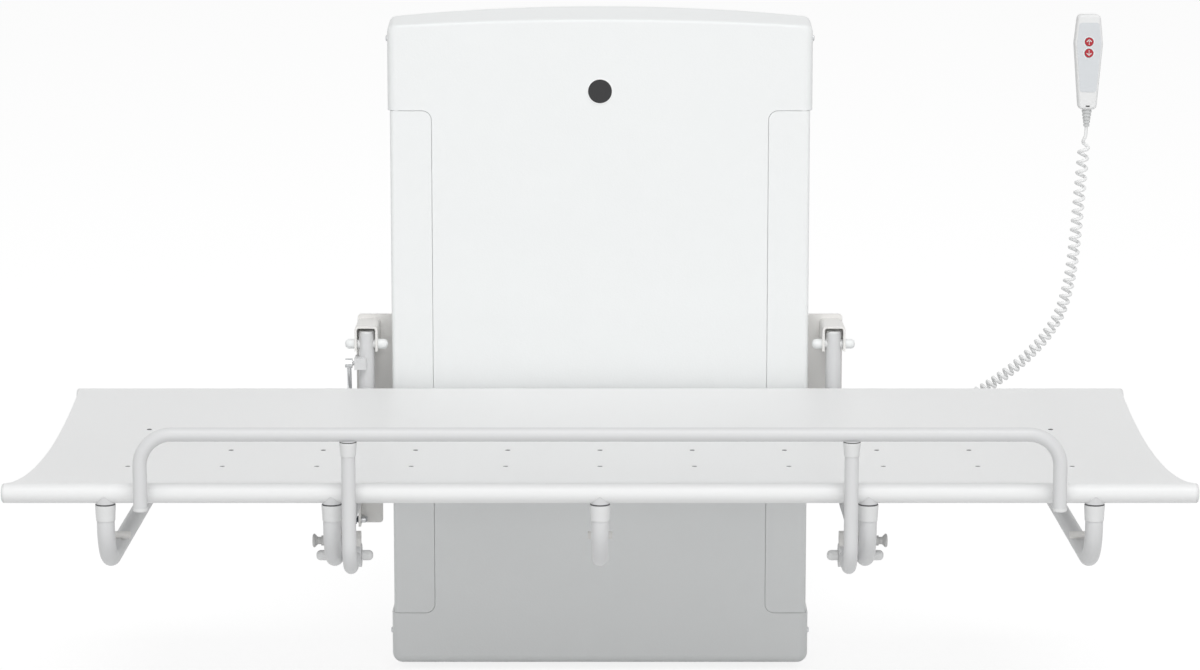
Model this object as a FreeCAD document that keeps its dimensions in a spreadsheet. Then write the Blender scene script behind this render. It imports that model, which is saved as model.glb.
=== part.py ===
import FreeCAD, Part
import math
import os
import re
import Sketcher

# Shower changing table: a wall-fixed lifting unit carries a folding lying surface on two side
# brackets. X runs along the table, Y towards the wall (the wall face is y = 0), Z is up.
# The origin is the centre of the four wall bolts. Heights in the sheet are above the floor.

SIZES = {
    # cover
    "unit_width": 720.0, "hood_overhang": 4.0, "cover_front": 120.0, "cover_back": 47.0,
    "cover_bottom": 8.0, "cover_shoulder": 1138.0, "crown_rise": 18.0, "cover_wall": 3.0,
    "cover_edge": 14.0, "cover_corner": 18.0, "top_hood_height": 153.0, "bottom_hood": 97.0,
    "band_width": 74.0, "band_edge": 7.0, "band_corner": 19.0, "panel_gap": 3.0, "lip_reach": 12.0,
    "badge_diameter": 43.0, "badge_rise": 31.0, "badge_thick": 1.6,
    "screw_head": 11.0, "screw_proud": 4.5, "screw_shank": 5.0, "screw_line": 75.0,
    # columns, their feet, the sheet-metal members between them and the wall bolts
    "column_inset": 46.0, "column_width": 50.0, "column_depth": 34.0, "column_wall": 4.0,
    "column_mouth": 16.0, "column_foot": 22.0, "column_drop": 16.0,
    "foot_diameter": 30.0, "foot_pad": 12.0, "member_wall": 4.0, "member_plate": 120.0,
    "shelf_front": 100.0, "shelf_back": 50.0, "shelf_drop": 23.0, "shelf_lower": 70.0,
    "tab_drop": 24.0, "tab_width": 32.0,
    "bolt_drop": 85.0, "bolt_rise": 60.0, "bolt_inset": 59.0, "bolt_hole": 11.0,
    # lifting drive
    "spindle_diameter": 20.0, "spindle_line": 62.0, "running_fit": 0.05, "bearing_diameter": 44.0,
    "bearing_height": 22.0, "gearbox_width": 110.0, "gearbox_depth": 70.0, "gearbox_height": 107.0,
    "boss_height": 20.0, "motor_diameter": 60.0, "motor_length": 130.0,
    "control_width": 150.0, "control_height": 190.0, "control_depth": 33.0, "control_bottom": 215.0,
    # carriage
    "beam_height": 60.0, "beam_depth": 40.0, "beam_wall": 3.0, "beam_drop": 47.0,
    "nut_diameter": 34.0, "nut_flange": 50.0, "nut_height": 12.0, "slide_gap": 1.0,
    "shoe_length": 30.0, "bracket_wall": 6.0, "bracket_gap": 2.0, "bracket_tail": 22.0,
    "bracket_drop": 97.0, "bracket_rise": 40.0, "clevis_width": 40.0, "clevis_wall": 4.0,
    "clevis_front": 130.0, "clevis_drop": 11.0, "clevis_rise": 33.0, "clevis_round": 8.0,
    "arm_overhang": 44.0, "pivot_line": 115.0, "pivot_rise": 86.0, "pivot_pin": 10.0,
    "cap_diameter": 17.0, "cap_length": 17.0, "bush_diameter": 16.0, "bush_gap": 0.5,
    # gas spring on the left arm
    "strut_foot_drop": 323.0, "strut_foot_line": 60.0, "strut_arm": 41.0, "strut_stud": 8.0,
    "strut_heel": 10.0, "strut_flange": 35.0, "strut_head_line": 127.0, "strut_head_drop": 32.0,
    "strut_body": 19.0, "strut_body_length": 190.0, "strut_rod": 8.0, "strut_eye": 17.0,
    "strut_eye_width": 12.0, "strut_gap": 0.8, "strut_stand": 4.0, "strut_floor": 4.0,
    # lying surface
    "table_length": 1792.0, "cap_reach": 4.0, "front_roll": 927.0, "rear_roll": 157.0,
    "roll_height": 491.0, "roll_tube": 25.0, "roll_wall": 2.0, "sheet_wall": 2.5, "sheet_sag": 37.5,
    "drain_margin": 146.0, "drain_diameter": 8.0, "drain_setback": 209.0, "drain_row": 135.0,
    # tube frame under the surface
    "tube_diameter": 26.9, "tube_wall": 2.6, "tube_drop": 112.0, "tube_bend": 63.0, "arm_bend": 60.0,
    "arm_rise": 20.0, "bore_depth": 12.0, "plug_rim": 3.0, "outer_tube_inset": 151.0,
    "saddle_diameter": 29.4, "saddle_floor": 1.0, "gasket_height": 1.6, "collar_height": 24.0,
    "collar_flare": 31.0, "collar_rim": 28.8, "socket_depth": 9.0, "push_gap": 0.1, "stub_diameter": 24.0,
    "peg_length": 38.0, "peg_diameter": 11.5, "peg_setback": 130.0, "peg_rise": 17.5,
    # safety rail
    "rail_diameter": 21.3, "rail_wall": 2.0, "rail_rise": 98.0, "rail_overhang": 40.0, "rail_inset": 209.0,
    "rail_bend": 48.0, "rail_tail": 111.0, "plug_length": 6.0, "plug_lip": 0.5, "post_inset": 28.5,
    "post_bend": 45.0, "hinge_setback": 77.0, "hinge_drop": 2.0, "hinge_eye": 36.0,
    "hinge_bolt": 8.0, "hinge_cap": 16.0, "hinge_cap_length": 17.0, "post_collar_height": 21.0,
    "post_collar_rim": 22.9, "post_collar_flare": 26.0, "seat_rim": 1.8,
    "cam_wall": 19.0, "cam_rise": 37.0, "cam_width": 18.0, "cam_pin_gap": 0.5,
    # latches that hold the rail up
    "latch_rise": 21.0, "latch_pin": 6.0, "latch_clear": 0.3,
    "latch_collar": 15.6, "latch_collar_length": 9.0, "latch_neck": 11.6, "latch_head": 21.0,
    "latch_head_length": 13.0,
    # handset on its wall hook
    "handset_across": 845.0, "handset_low": 976.0, "handset_length": 165.0, "handset_top_width": 39.0,
    "handset_width": 49.6, "handset_foot_width": 31.0, "handset_waist": 115.0, "handset_front": 44.0,
    "handset_thick": 24.0, "handset_round": 5.0, "foil_wall": 0.6, "foil_inset": 4.0,
    "foil_low": 31.0, "foil_high": 151.0, "button_diameter": 15.0, "button_thick": 2.6,
    "button_well": 1.6, "button_gap": 0.3, "upper_button": 118.0, "lower_button": 98.5,
    "slot_width": 6.6, "slot_height": 2.2, "slot_rise": 6.2,
    "relief_length": 30.0, "relief_top": 18.0, "relief_foot": 10.0, "relief_groove": 1.2,
    "hook_width": 24.0, "hook_wall": 4.0, "hook_plate": 70.0, "hook_lip": 14.0,
    "hook_screw": 5.0, "hook_screw_pitch": 36.0,
    # curly cord
    "cord_diameter": 6.0, "curl_diameter": 22.0, "cord_line": 17.0, "gland_height": 372.0,
    "gland_diameter": 16.0, "gland_length": 14.0,
}

# Heights above the floor, distances from the wall and pitches that follow from the sizes
FOLLOWING = {
    "hood_width": "=unit_width + 2 * hood_overhang",
    "column_pitch": "=unit_width - 2 * column_inset",
    "column_top": "=cover_shoulder - column_drop",
    "shelf_upper": "=cover_shoulder - shelf_drop",
    "top_hood": "=cover_shoulder - top_hood_height",
    "badge_height": "=top_hood + badge_rise",
    "bolt_spacing_across": "=column_pitch - column_width - 2 * bolt_inset",
    "bolt_spacing_up": "=shelf_upper - bolt_drop - shelf_lower - bolt_rise",
    "mount_height": "=(shelf_upper - bolt_drop + shelf_lower + bolt_rise) / 2",
    "pivot_height": "=roll_height + pivot_rise",
    "beam_middle": "=pivot_height - beam_drop",
    "bracket_low": "=pivot_height - bracket_drop",
    "bracket_top": "=pivot_height + bracket_rise",
    "bracket_inner": "=column_pitch / 2 - bracket_tail",
    "clevis_low": "=pivot_height - clevis_drop",
    "clevis_lip": "=pivot_height + clevis_rise",
    "arm_pitch": "=unit_width + 2 * arm_overhang",
    "arm_top": "=pivot_height + arm_rise",
    "strut_foot_height": "=pivot_height - strut_foot_drop",
    "strut_low": "=strut_foot_height - strut_heel",
    "strut_head_height": "=pivot_height - strut_head_drop",
    "tube_height": "=roll_height - tube_drop",
    "outer_tube_pitch": "=table_length - 2 * outer_tube_inset",
    "peg_line": "=front_roll - peg_setback",
    "rail_height": "=roll_height + rail_rise",
    "rail_end": "=rail_height - rail_tail",
    "rail_line": "=front_roll + rail_overhang",
    "rail_span": "=table_length - 2 * rail_inset",
    "post_pitch": "=arm_pitch - 2 * post_inset",
    "hinge_line": "=front_roll - hinge_setback",
    "hinge_height": "=tube_height - hinge_drop",
    "latch_height": "=tube_height + latch_rise",
}

doc = FreeCAD.newDocument("ShowerChangingTable")
sheet = doc.addObject("Spreadsheet::Sheet", "Sizes")
for row, (alias, size) in enumerate({**SIZES, **FOLLOWING}.items(), start=1):
    sheet.set(f"A{row}", alias.replace("_", " "))
    sheet.set(f"B{row}", str(size))
    sheet.setAlias(f"B{row}", alias)
doc.recompute()

Vector = FreeCAD.Vector
ALONG_X = FreeCAD.Rotation(Vector(0, 1, 0), 90)
AGAINST_X = FreeCAD.Rotation(Vector(0, 1, 0), -90)
TO_FRONT = FreeCAD.Rotation(Vector(1, 0, 0), 90)
UPRIGHT = FreeCAD.Rotation()
WORD = re.compile(r"[a-z_][a-z0-9_]*")
SIDES = {"left": "-1", "right": "1"}
nodes = {}


# Formulas, sketches and features

def cells(formula):
    """Write the size names in a formula as references to the sheet."""
    known = SIZES.keys() | FOLLOWING.keys()
    return WORD.sub(lambda found: "Sizes." + found[0] if found[0] in known else found[0], str(formula))


def value(formula):
    return float(sheet.evalExpression(str(formula)))


def level(height):
    """A height above the floor, seen from the origin."""
    return f"({height}) - mount_height"


def new_body(label):
    body = doc.addObject("PartDesign::Body", label)
    body.Label = label
    return body


def keep(label, thing):
    """Name a finished sub-part; its label also names its file."""
    thing.Label = label
    nodes[label] = thing
    return thing


def group(label, things):
    """Like pieces that share one name stay separate solids in one sub-part."""
    joined = doc.addObject("Part::Compound", label)
    joined.Links = things
    return keep(label, joined)


def place(thing, across="0", along="0", up="0", turn=UPRIGHT):
    thing.Placement = FreeCAD.Placement(Vector(), turn)
    for axis, formula in zip("xyz", (across, along, up)):
        thing.setExpression(f".Placement.Base.{axis}", cells(formula))
    return thing


def new_sketch(body, plane, lift="0"):
    """A sketch on one of the body's own planes, lifted along the plane's normal."""
    sketch = body.newObject("Sketcher::SketchObject", "Sketch")
    support = next(item for item in body.Origin.OriginFeatures if item.Role == plane + "_Plane")
    sketch.AttachmentSupport = (support, [""])
    sketch.MapMode = "FlatFace"
    sketch.setExpression("AttachmentOffset.Base.z", cells(lift))
    return sketch


def constrain(sketch, kind, *where_and_formula):
    *where, formula = where_and_formula
    index = sketch.addConstraint(Sketcher.Constraint(kind, *where, value(formula)))
    sketch.setExpression(f"Constraints[{index}]", cells(formula))


def pin_point(sketch, curve, end, across, up):
    """Tie one point of a curve to the sketch's origin by two formulas."""
    constrain(sketch, "DistanceX", -1, 1, curve, end, across)
    constrain(sketch, "DistanceY", -1, 1, curve, end, up)


def outline(sketch, corners):
    """A closed polygon whose corners are pairs of formulas."""
    spots = [Vector(value(across), value(up), 0) for across, up in corners]
    first = sketch.GeometryCount
    count = len(spots)
    for index in range(count):
        sketch.addGeometry(Part.LineSegment(spots[index], spots[(index + 1) % count]))
    for index, (across, up) in enumerate(corners):
        following = first + (index + 1) % count
        sketch.addConstraint(Sketcher.Constraint("Coincident", first + index, 2, following, 1))
        pin_point(sketch, first + index, 1, across, up)
    return sketch


def rectangle(sketch, left, right, low, high):
    return outline(sketch, [(left, low), (right, low), (right, high), (left, high)])


def circle(sketch, across, up, diameter):
    centre = Vector(value(across), value(up), 0)
    index = sketch.addGeometry(Part.Circle(centre, Vector(0, 0, 1), value(diameter) / 2))
    pin_point(sketch, index, 3, across, up)
    constrain(sketch, "Radius", index, f"({diameter}) / 2")
    return sketch


def rings(across, up, *diameters):
    """Drawing functions for circles about one point."""
    return [lambda sketch, size=size: circle(sketch, across, up, size) for size in diameters]


def line(sketch, start, end):
    first, last = (Vector(value(point[0]), value(point[1]), 0) for point in (start, end))
    index = sketch.addGeometry(Part.LineSegment(first, last))
    pin_point(sketch, index, 1, *start)
    pin_point(sketch, index, 2, *end)
    return index


def arc(sketch, start, end, radius):
    """An arc that turns left on its way from one point of a sketch to another."""
    first, last = (Vector(value(point[0]), value(point[1]), 0) for point in (start, end))
    half = (last - first) * 0.5
    rise = math.sqrt(value(radius) ** 2 - half.Length ** 2)
    centre = first + half + Vector(-half.y, half.x, 0).normalize() * rise
    base = Part.Circle(centre, Vector(0, 0, 1), value(radius))
    index = sketch.addGeometry(Part.ArcOfCircle(base, base.parameter(first), base.parameter(last)))
    pin_point(sketch, index, 1, *start)
    pin_point(sketch, index, 2, *end)
    constrain(sketch, "Radius", index, radius)
    return index


def pad(body, sketch, length, symmetric=False):
    feature = body.newObject("PartDesign::Pad", "Pad")
    feature.Profile = sketch
    feature.SideType = "Symmetric" if symmetric else "One side"
    feature.setExpression("Length", cells(length))
    return feature


def pocket(body, sketch):
    """Cut a sketch right through the body, both ways."""
    doc.recompute()
    before = body.Shape.Volume
    feature = body.newObject("PartDesign::Pocket", "Pocket")
    feature.Profile = sketch
    feature.SideType = "Symmetric"
    feature.Type = "ThroughAll"
    doc.recompute()
    if body.Shape.Volume > before - 1e-6:
        raise RuntimeError(f"nothing was cut from {body.Label}")
    return feature


def fillet(body, radius, chosen, kind="Fillet", size="Radius"):
    """Round, or chamfer, the edges that the test picks."""
    doc.recompute()
    base = body.Tip
    names = [f"Edge{index}" for index, edge in enumerate(base.Shape.Edges, start=1) if chosen(edge)]
    feature = body.newObject("PartDesign::" + kind, kind)
    feature.Base = (base, names)
    feature.setExpression(size, cells(radius))
    return feature


def slab(label, plane, lift, length, *draw):
    """A prism: each drawing function adds its closed curve to one sketch."""
    body = new_body(label)
    sketch = new_sketch(body, plane, lift)
    for stroke in draw:
        stroke(sketch)
    pad(body, sketch, length)
    return body


def turned(label, profile):
    """A turned piece: (radius, height) corners revolved about the upright axis."""
    body = new_body(label)
    sketch = outline(new_sketch(body, "XZ"), profile)
    feature = body.newObject("PartDesign::Revolution", "Revolution")
    feature.Profile = sketch
    feature.ReferenceAxis = (sketch, ["V_Axis"])
    feature.Angle = 360
    return body


def acorn_cap(label, diameter, length):
    """A domed cap with a short straight skirt, standing on z = 0."""
    body = new_body(label)
    pad(body, circle(new_sketch(body, "XY"), "0", "0", diameter), length)
    top = value(length)
    dome = f"min(({diameter}) * 0.42; ({length}) * 0.6)"
    fillet(body, dome, lambda edge: abs(edge.BoundBox.ZMin - top) < 1e-6)
    return body


def bent_tube(label, plane, corners, bends, diameter, wall):
    """A tube bent square along a path that starts upright; the path lies in one plane."""
    body = new_body(label)
    path = new_sketch(body, plane)
    spots = [Vector(value(across), value(up), 0) for across, up in corners]
    starts, ends = [corners[0]], []
    for index, bend in enumerate(bends, start=1):
        near = (spots[index - 1] - spots[index]).normalize()
        far = (spots[index + 1] - spots[index]).normalize()
        across, up = corners[index]
        ends.append((f"{across} + {round(near.x)} * ({bend})", f"{up} + {round(near.y)} * ({bend})"))
        starts.append((f"{across} + {round(far.x)} * ({bend})", f"{up} + {round(far.y)} * ({bend})"))
    ends.append(corners[-1])
    runs = [line(path, start, end) for start, end in zip(starts, ends)]
    for index, bend in enumerate(bends, start=1):
        near = (spots[index - 1] - spots[index]).normalize()
        far = (spots[index + 1] - spots[index]).normalize()
        radius = value(bend)
        centre = spots[index] + (near + far) * radius
        base = Part.Circle(centre, Vector(0, 0, 1), radius)
        angles = [base.parameter(spots[index] + way * radius) for way in (near, far)]
        forward = near.x * far.y - near.y * far.x < 0
        if not forward:
            angles.reverse()
        curve = path.addGeometry(Part.ArcOfCircle(base, angles[0], angles[1]))
        entry, leave = (1, 2) if forward else (2, 1)
        path.addConstraint(Sketcher.Constraint("Tangent", runs[index - 1], 2, curve, entry))
        path.addConstraint(Sketcher.Constraint("Coincident", runs[index], 1, curve, leave))
    section = new_sketch(body, "XY", corners[0][1])
    centre = (corners[0][0], "0") if plane == "XZ" else ("0", corners[0][0])
    for size in (diameter, f"({diameter}) - 2 * ({wall})"):
        circle(section, *centre, size)
    doc.recompute()
    pipe = body.newObject("PartDesign::AdditivePipe", "Pipe")
    pipe.Profile = section
    pipe.Spine = (path, [f"Edge{index}" for index in range(1, path.GeometryCount + 1)])
    return body


def outward(sign):
    return ALONG_X if sign == "1" else AGAINST_X


def along_y(edge):
    return edge.BoundBox.YLength > 1 and edge.BoundBox.XLength + edge.BoundBox.ZLength < 1e-6


def along_z(edge):
    return edge.BoundBox.ZLength > 1 and edge.BoundBox.XLength + edge.BoundBox.YLength < 1e-6


# Fixed frame of the lifting unit

def column(side, sign):
    """A drawn profile whose slot, open to the front, guides the carriage shoes."""
    half, wall, mouth = "column_width / 2", "column_wall", "column_mouth / 2"
    body = new_body(side + "_column")
    corners = [(f"-({half})", "0"), (half, "0"), (half, "-column_depth"), (mouth, "-column_depth")]
    corners += [(mouth, f"{wall} - column_depth"), (f"{half} - {wall}", f"{wall} - column_depth")]
    corners += [(f"{half} - {wall}", f"-{wall}"), (f"{wall} - {half}", f"-{wall}")]
    corners += [(f"{wall} - {half}", f"{wall} - column_depth"), (f"-({mouth})", f"{wall} - column_depth")]
    corners += [(f"-({mouth})", "-column_depth"), (f"-({half})", "-column_depth")]
    pad(body, outline(new_sketch(body, "XY"), corners), "column_top - column_foot")
    place(body, f"{sign} * column_pitch / 2", "0", level("column_foot"))
    keep(side + "_column", body)


def foot(sign):
    body = slab("foot", "XY", "foot_pad", "column_foot - foot_pad",
                lambda sketch: rectangle(sketch, "-column_width / 2", "column_width / 2",
                                         "-column_depth / 2", "column_depth / 2"))
    pad(body, circle(new_sketch(body, "XY"), "0", "0", "foot_diameter"), "foot_pad")
    return place(body, f"{sign} * column_pitch / 2", "-column_depth / 2", level("0"))


def crossmember(label, shelf, plate_way, bolt_way):
    """A folded sheet: wall plate with two bolt holes, a shelf, and a tab for each cover screw."""
    inner, outer = "(column_pitch - column_width) / 2", "hood_width / 2 - cover_wall"
    shelf_level = level(shelf)
    corners = [(f"-({inner})", "0"), (inner, "0"), (inner, "-shelf_back"), (outer, "-shelf_back")]
    corners += [(outer, "-shelf_front"), (f"-({outer})", "-shelf_front"), (f"-({outer})", "-shelf_back")]
    corners += [(f"-({inner})", "-shelf_back")]
    body = slab(label, "XY", shelf_level, "member_wall", lambda sketch: outline(sketch, corners))
    heights = sorted((shelf_level, f"{shelf_level} + {plate_way} * member_plate"), key=value)
    plate = rectangle(new_sketch(body, "XZ"), f"-({inner})", inner, *heights)
    for sign in SIDES.values():
        circle(plate, f"{sign} * bolt_spacing_across / 2", f"{bolt_way} * bolt_spacing_up / 2", "bolt_hole")
    pad(body, plate, "member_wall")
    for start in (f"{outer} - member_wall", f"-({outer})"):
        tab = new_sketch(body, "YZ", start)
        rectangle(tab, "-screw_line - tab_width / 2", "tab_width / 2 - screw_line",
                  f"{shelf_level} - tab_drop", shelf_level)
        circle(tab, "-screw_line", f"{shelf_level} - tab_drop / 2", "screw_shank + 2 * push_gap")
        pad(body, tab, "member_wall")
    keep(label, body)


# Cover of the lifting unit

SCREW_LEVELS = [level("shelf_upper - tab_drop / 2"), level("shelf_lower - tab_drop / 2")]
WINDOW = "unit_width / 2 - band_width"


def front_cover():
    """Central panel and both hoods in one shell, crowned on top and open at the back."""
    body = new_body("front_cover")
    half, low, shoulder = "hood_width / 2", level("cover_bottom"), level("cover_shoulder")
    sketch = new_sketch(body, "XZ", "cover_back")
    line(sketch, (f"-({half})", shoulder), (f"-({half})", low))
    line(sketch, (f"-({half})", low), (half, low))
    line(sketch, (half, low), (half, shoulder))
    arc(sketch, (half, shoulder), (f"-({half})", shoulder),
        "(hood_width ^ 2 / 4 + crown_rise ^ 2) / (2 * crown_rise)")
    pad(body, sketch, "cover_front - cover_back")
    fillet(body, "cover_corner", along_y)
    front, back = -value("cover_front"), -value("cover_back")
    fillet(body, "cover_edge", lambda edge: edge.BoundBox.YMax < front + 1e-6)
    doc.recompute()
    filled = body.Tip
    rear = [f"Face{index}" for index, face in enumerate(filled.Shape.Faces, start=1)
            if face.BoundBox.YMin > back - 1e-6]
    hollow = body.newObject("PartDesign::Thickness", "Hollow")
    hollow.Base = (filled, rear)
    hollow.Reversed = True
    hollow.setExpression("Value", cells("cover_wall"))
    windows = new_sketch(body, "XZ")
    for near, far in ((f"-({half}) - cover_wall", f"-({WINDOW})"), (WINDOW, f"{half} + cover_wall")):
        rectangle(windows, near, far, level("bottom_hood"), level("top_hood"))
    pocket(body, windows)
    window = value(WINDOW)
    fillet(body, "band_corner",
           lambda edge: along_y(edge) and abs(abs(edge.BoundBox.XMin) - window) < 1e-6)
    holes = new_sketch(body, "YZ")
    for height in SCREW_LEVELS:
        circle(holes, "-screw_line", height, "screw_shank + 2 * push_gap")
    pocket(body, holes)
    keep("front_cover", body)


def side_panel(side, sign):
    """The band beside the central panel: face, rounded edge, side wall and the lip behind the gap."""
    body = new_body(side + "_side_panel")
    outer, inner = "unit_width / 2", f"{WINDOW} + panel_gap"
    skin = "cover_front - cover_wall"
    low, high = level("bottom_hood + panel_gap"), level("top_hood - panel_gap")
    corners = [(inner, "-cover_front"), (outer, "-cover_front"), (outer, "-cover_back")]
    corners += [(f"{outer} - cover_wall", "-cover_back"), (f"{outer} - cover_wall", f"-({skin})")]
    corners += [(inner, f"-({skin})")]
    signed = [(f"{sign} * ({across})", up) for across, up in corners]
    pad(body, outline(new_sketch(body, "XY", low), signed), f"({high}) - ({low})")
    edge_x, front = value(f"{sign} * ({outer})"), -value("cover_front")
    fillet(body, "band_edge", lambda edge: along_z(edge) and abs(edge.BoundBox.XMin - edge_x) < 1e-6
           and abs(edge.BoundBox.YMin - front) < 1e-6)
    inner_x = value(f"{sign} * ({inner})")
    fillet(body, "band_corner - panel_gap",
           lambda edge: along_y(edge) and abs(edge.BoundBox.XMin - inner_x) < 1e-6)
    lip = new_sketch(body, "XZ", f"{skin} - cover_wall")
    edges = sorted((f"{sign} * ({WINDOW} - lip_reach)", f"{sign} * ({outer} - cover_edge)"), key=value)
    rectangle(lip, *edges, f"{low} - lip_reach", f"{high} + lip_reach")
    pad(body, lip, "cover_wall")
    keep(side + "_side_panel", body)


def cover_screw(sign, height):
    body = acorn_cap("cover_screw", "screw_head", "screw_proud")
    shank = circle(new_sketch(body, "XY", "-screw_head"), "0", "0", "screw_shank")
    pad(body, shank, "screw_head")
    return place(body, f"{sign} * hood_width / 2", "-screw_line", height, outward(sign))


def badge():
    body = slab("cover_badge", "XZ", "0", "badge_thick",
                lambda sketch: circle(sketch, "0", "0", "badge_diameter"))
    keep("cover_badge", place(body, "0", "-cover_front", level("badge_height")))


# Lifting drive

GEARBOX_TOP = level("shelf_lower + member_wall + gearbox_height")


def gearbox():
    bottom = level("shelf_lower + member_wall")
    body = slab("gearbox", "XY", bottom, "gearbox_height",
                lambda sketch: rectangle(sketch, "-gearbox_width / 2", "gearbox_width / 2",
                                         "-spindle_line - gearbox_depth / 2",
                                         "gearbox_depth / 2 - spindle_line"))
    boss = new_sketch(body, "XY", GEARBOX_TOP)
    for size in ("bearing_diameter", "spindle_diameter + 2 * running_fit"):
        circle(boss, "0", "-spindle_line", size)
    pad(body, boss, "boss_height")
    keep("gearbox", body)


def motor():
    height = level("shelf_lower + member_wall + gearbox_height / 2")
    body = slab("lift_motor", "YZ", "gearbox_width / 2", "motor_length",
                lambda sketch: circle(sketch, "-spindle_line", height, "motor_diameter"))
    far = value("gearbox_width / 2 + motor_length")
    fillet(body, "motor_diameter / 10", lambda edge: edge.BoundBox.XMin > far - 1e-6)
    keep("lift_motor", body)


def spindle():
    foot = f"{GEARBOX_TOP} + bush_gap"
    body = slab("lift_spindle", "XY", foot, f"{level('shelf_upper')} - bush_gap - ({foot})",
                lambda sketch: circle(sketch, "0", "-spindle_line", "spindle_diameter"))
    keep("lift_spindle", body)
    bearing = slab("spindle_bearing", "XY", f"{level('shelf_upper')} - bearing_height", "bearing_height",
                   *rings("0", "-spindle_line", "bearing_diameter", "spindle_diameter + 2 * running_fit"))
    keep("spindle_bearing", bearing)


def control_box():
    left = "(column_width - column_pitch) / 2"
    body = slab("control_box", "XZ", "0", "control_depth",
                lambda sketch: rectangle(sketch, left, f"{left} + control_width", level("control_bottom"),
                                         level("control_bottom + control_height")))
    fillet(body, "control_depth / 10", along_y)
    keep("control_box", body)


for name, way in SIDES.items():
    column(name, way)
    side_panel(name, way)
group("feet", [foot(way) for way in SIDES.values()])
crossmember("top_crossmember", "shelf_upper", "-1", "1")
crossmember("bottom_crossmember", "shelf_lower", "1", "-1")
front_cover()
group("cover_screws", [cover_screw(way, height) for way in SIDES.values() for height in SCREW_LEVELS])
badge()
gearbox()
motor()
spindle()
control_box()


# Carriage

BRACKET_BACK = "column_depth + bracket_gap"
BRACKET_FACE = f"{BRACKET_BACK} + bracket_wall"
ARM = "arm_pitch / 2"
EAR_OUT, EAR_IN = f"{ARM} + clevis_width / 2", f"{ARM} - clevis_width / 2"
PIVOT = level("pivot_height")


def sided(sign, near, far):
    """Start and length of a pad along X between two distances from the middle."""
    return (near if sign == "1" else f"-({far})"), f"({far}) - ({near})"


def beam():
    half, low = "column_pitch / 2 + column_width / 2", level("beam_middle - beam_height / 2")
    body = new_body("carriage_beam")
    section = new_sketch(body, "YZ", f"-({half})")
    for inset in ("0", "beam_wall"):
        rectangle(section, f"{inset} - beam_depth - ({BRACKET_FACE})", f"-({BRACKET_FACE}) - {inset}",
                  f"{low} + {inset}", f"{low} + beam_height - {inset}")
    pad(body, section, f"2 * ({half})")
    pocket(body, circle(new_sketch(body, "XY"), "0", "-spindle_line", "nut_diameter + 2 * push_gap"))
    keep("carriage_beam", body)
    nut = new_body("spindle_nut")
    for size, start, height in (("nut_diameter", low, "beam_height"),
                                ("nut_flange", f"{low} + beam_height", "nut_height")):
        ring = new_sketch(nut, "XY", start)
        circle(ring, "0", "-spindle_line", size)
        circle(ring, "0", "-spindle_line", "spindle_diameter + 2 * running_fit")
        pad(nut, ring, height)
    keep("spindle_nut", nut)


def shoe(sign, base):
    """A sliding block whose head runs in the column's slot."""
    neck = "column_mouth / 2 - slide_gap"
    head = "column_width / 2 - column_wall - slide_gap"
    shoulder, back = "column_depth - column_wall - slide_gap", "column_wall + slide_gap"
    half = [(neck, BRACKET_BACK), (neck, shoulder), (head, shoulder), (head, back)]
    corners = [(f"{across}", f"-({along})") for across, along in half]
    corners += [(f"-({across})", f"-({along})") for across, along in reversed(half)]
    body = slab("guide_shoe", "XY", "0", "shoe_length", lambda sketch: outline(sketch, corners))
    return place(body, f"{sign} * column_pitch / 2", "0", base)


def bracket(side, sign):
    """Hooded clevis for the arm on a back plate; the left plate reaches down to the gas spring."""
    body = new_body(side + "_bracket")
    lip, foot, wall = level("clevis_lip"), level("clevis_low"), "clevis_wall"
    ears = [(EAR_IN, foot), (f"{EAR_IN} + {wall}", foot)]
    ears += [(f"{EAR_IN} + {wall}", f"{lip} - {wall}"), (f"{EAR_OUT} - {wall}", f"{lip} - {wall}")]
    ears += [(f"{EAR_OUT} - {wall}", foot), (EAR_OUT, foot), (EAR_OUT, lip), (EAR_IN, lip)]
    hood = new_sketch(body, "XZ", BRACKET_FACE)
    outline(hood, [(f"{sign} * ({across})", up) for across, up in ears])
    pad(body, hood, f"clevis_front - ({BRACKET_FACE})")
    crest = value(lip)
    fillet(body, "clevis_round", lambda edge: along_y(edge) and edge.BoundBox.ZMin > crest - 1e-6)
    under = value(f"{lip} - {wall}")
    fillet(body, f"clevis_round - {wall}",
           lambda edge: along_y(edge) and abs(edge.BoundBox.ZMin - under) < 1e-6)
    low, top = level("bracket_low"), level("bracket_top")
    corners = [("bracket_inner", top), ("bracket_inner", low)]
    if side == "left":
        corners += [(f"{EAR_OUT} - strut_arm", low), (f"{EAR_OUT} - strut_arm", level("strut_low"))]
        low = level("strut_low")
    corners += [(EAR_OUT, low), (EAR_OUT, top)]
    plate = new_sketch(body, "XZ", BRACKET_BACK)
    outline(plate, [(f"{sign} * ({across})", up) for across, up in corners])
    pad(body, plate, "bracket_wall")
    inner, outer, crest = value("bracket_inner"), value(EAR_OUT), value(top)
    front = -value(BRACKET_FACE)
    fillet(body, "bracket_wall", lambda edge: along_y(edge) and edge.BoundBox.YMin > front - 1e-6
           and (edge.BoundBox.ZMin > crest - 1e-6 or inner + 1 < abs(edge.BoundBox.XMin) < outer - 1)
           and abs(edge.BoundBox.XMin) > inner + 1)
    holes = circle(new_sketch(body, "YZ"), "-pivot_line", PIVOT, "pivot_pin + 2 * push_gap")
    if side == "left":
        start, length = sided(sign, f"{EAR_OUT} - clevis_wall", EAR_OUT)
        flange = new_sketch(body, "YZ", start)
        rectangle(flange, f"-({BRACKET_FACE}) - strut_flange", f"-({BRACKET_FACE})",
                  level("strut_low"), level("clevis_low"))
        pad(body, flange, length)
        circle(holes, "-strut_foot_line", level("strut_foot_height"), "strut_stud + 2 * push_gap")
    pocket(body, holes)
    keep(side + "_bracket", body)


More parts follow.
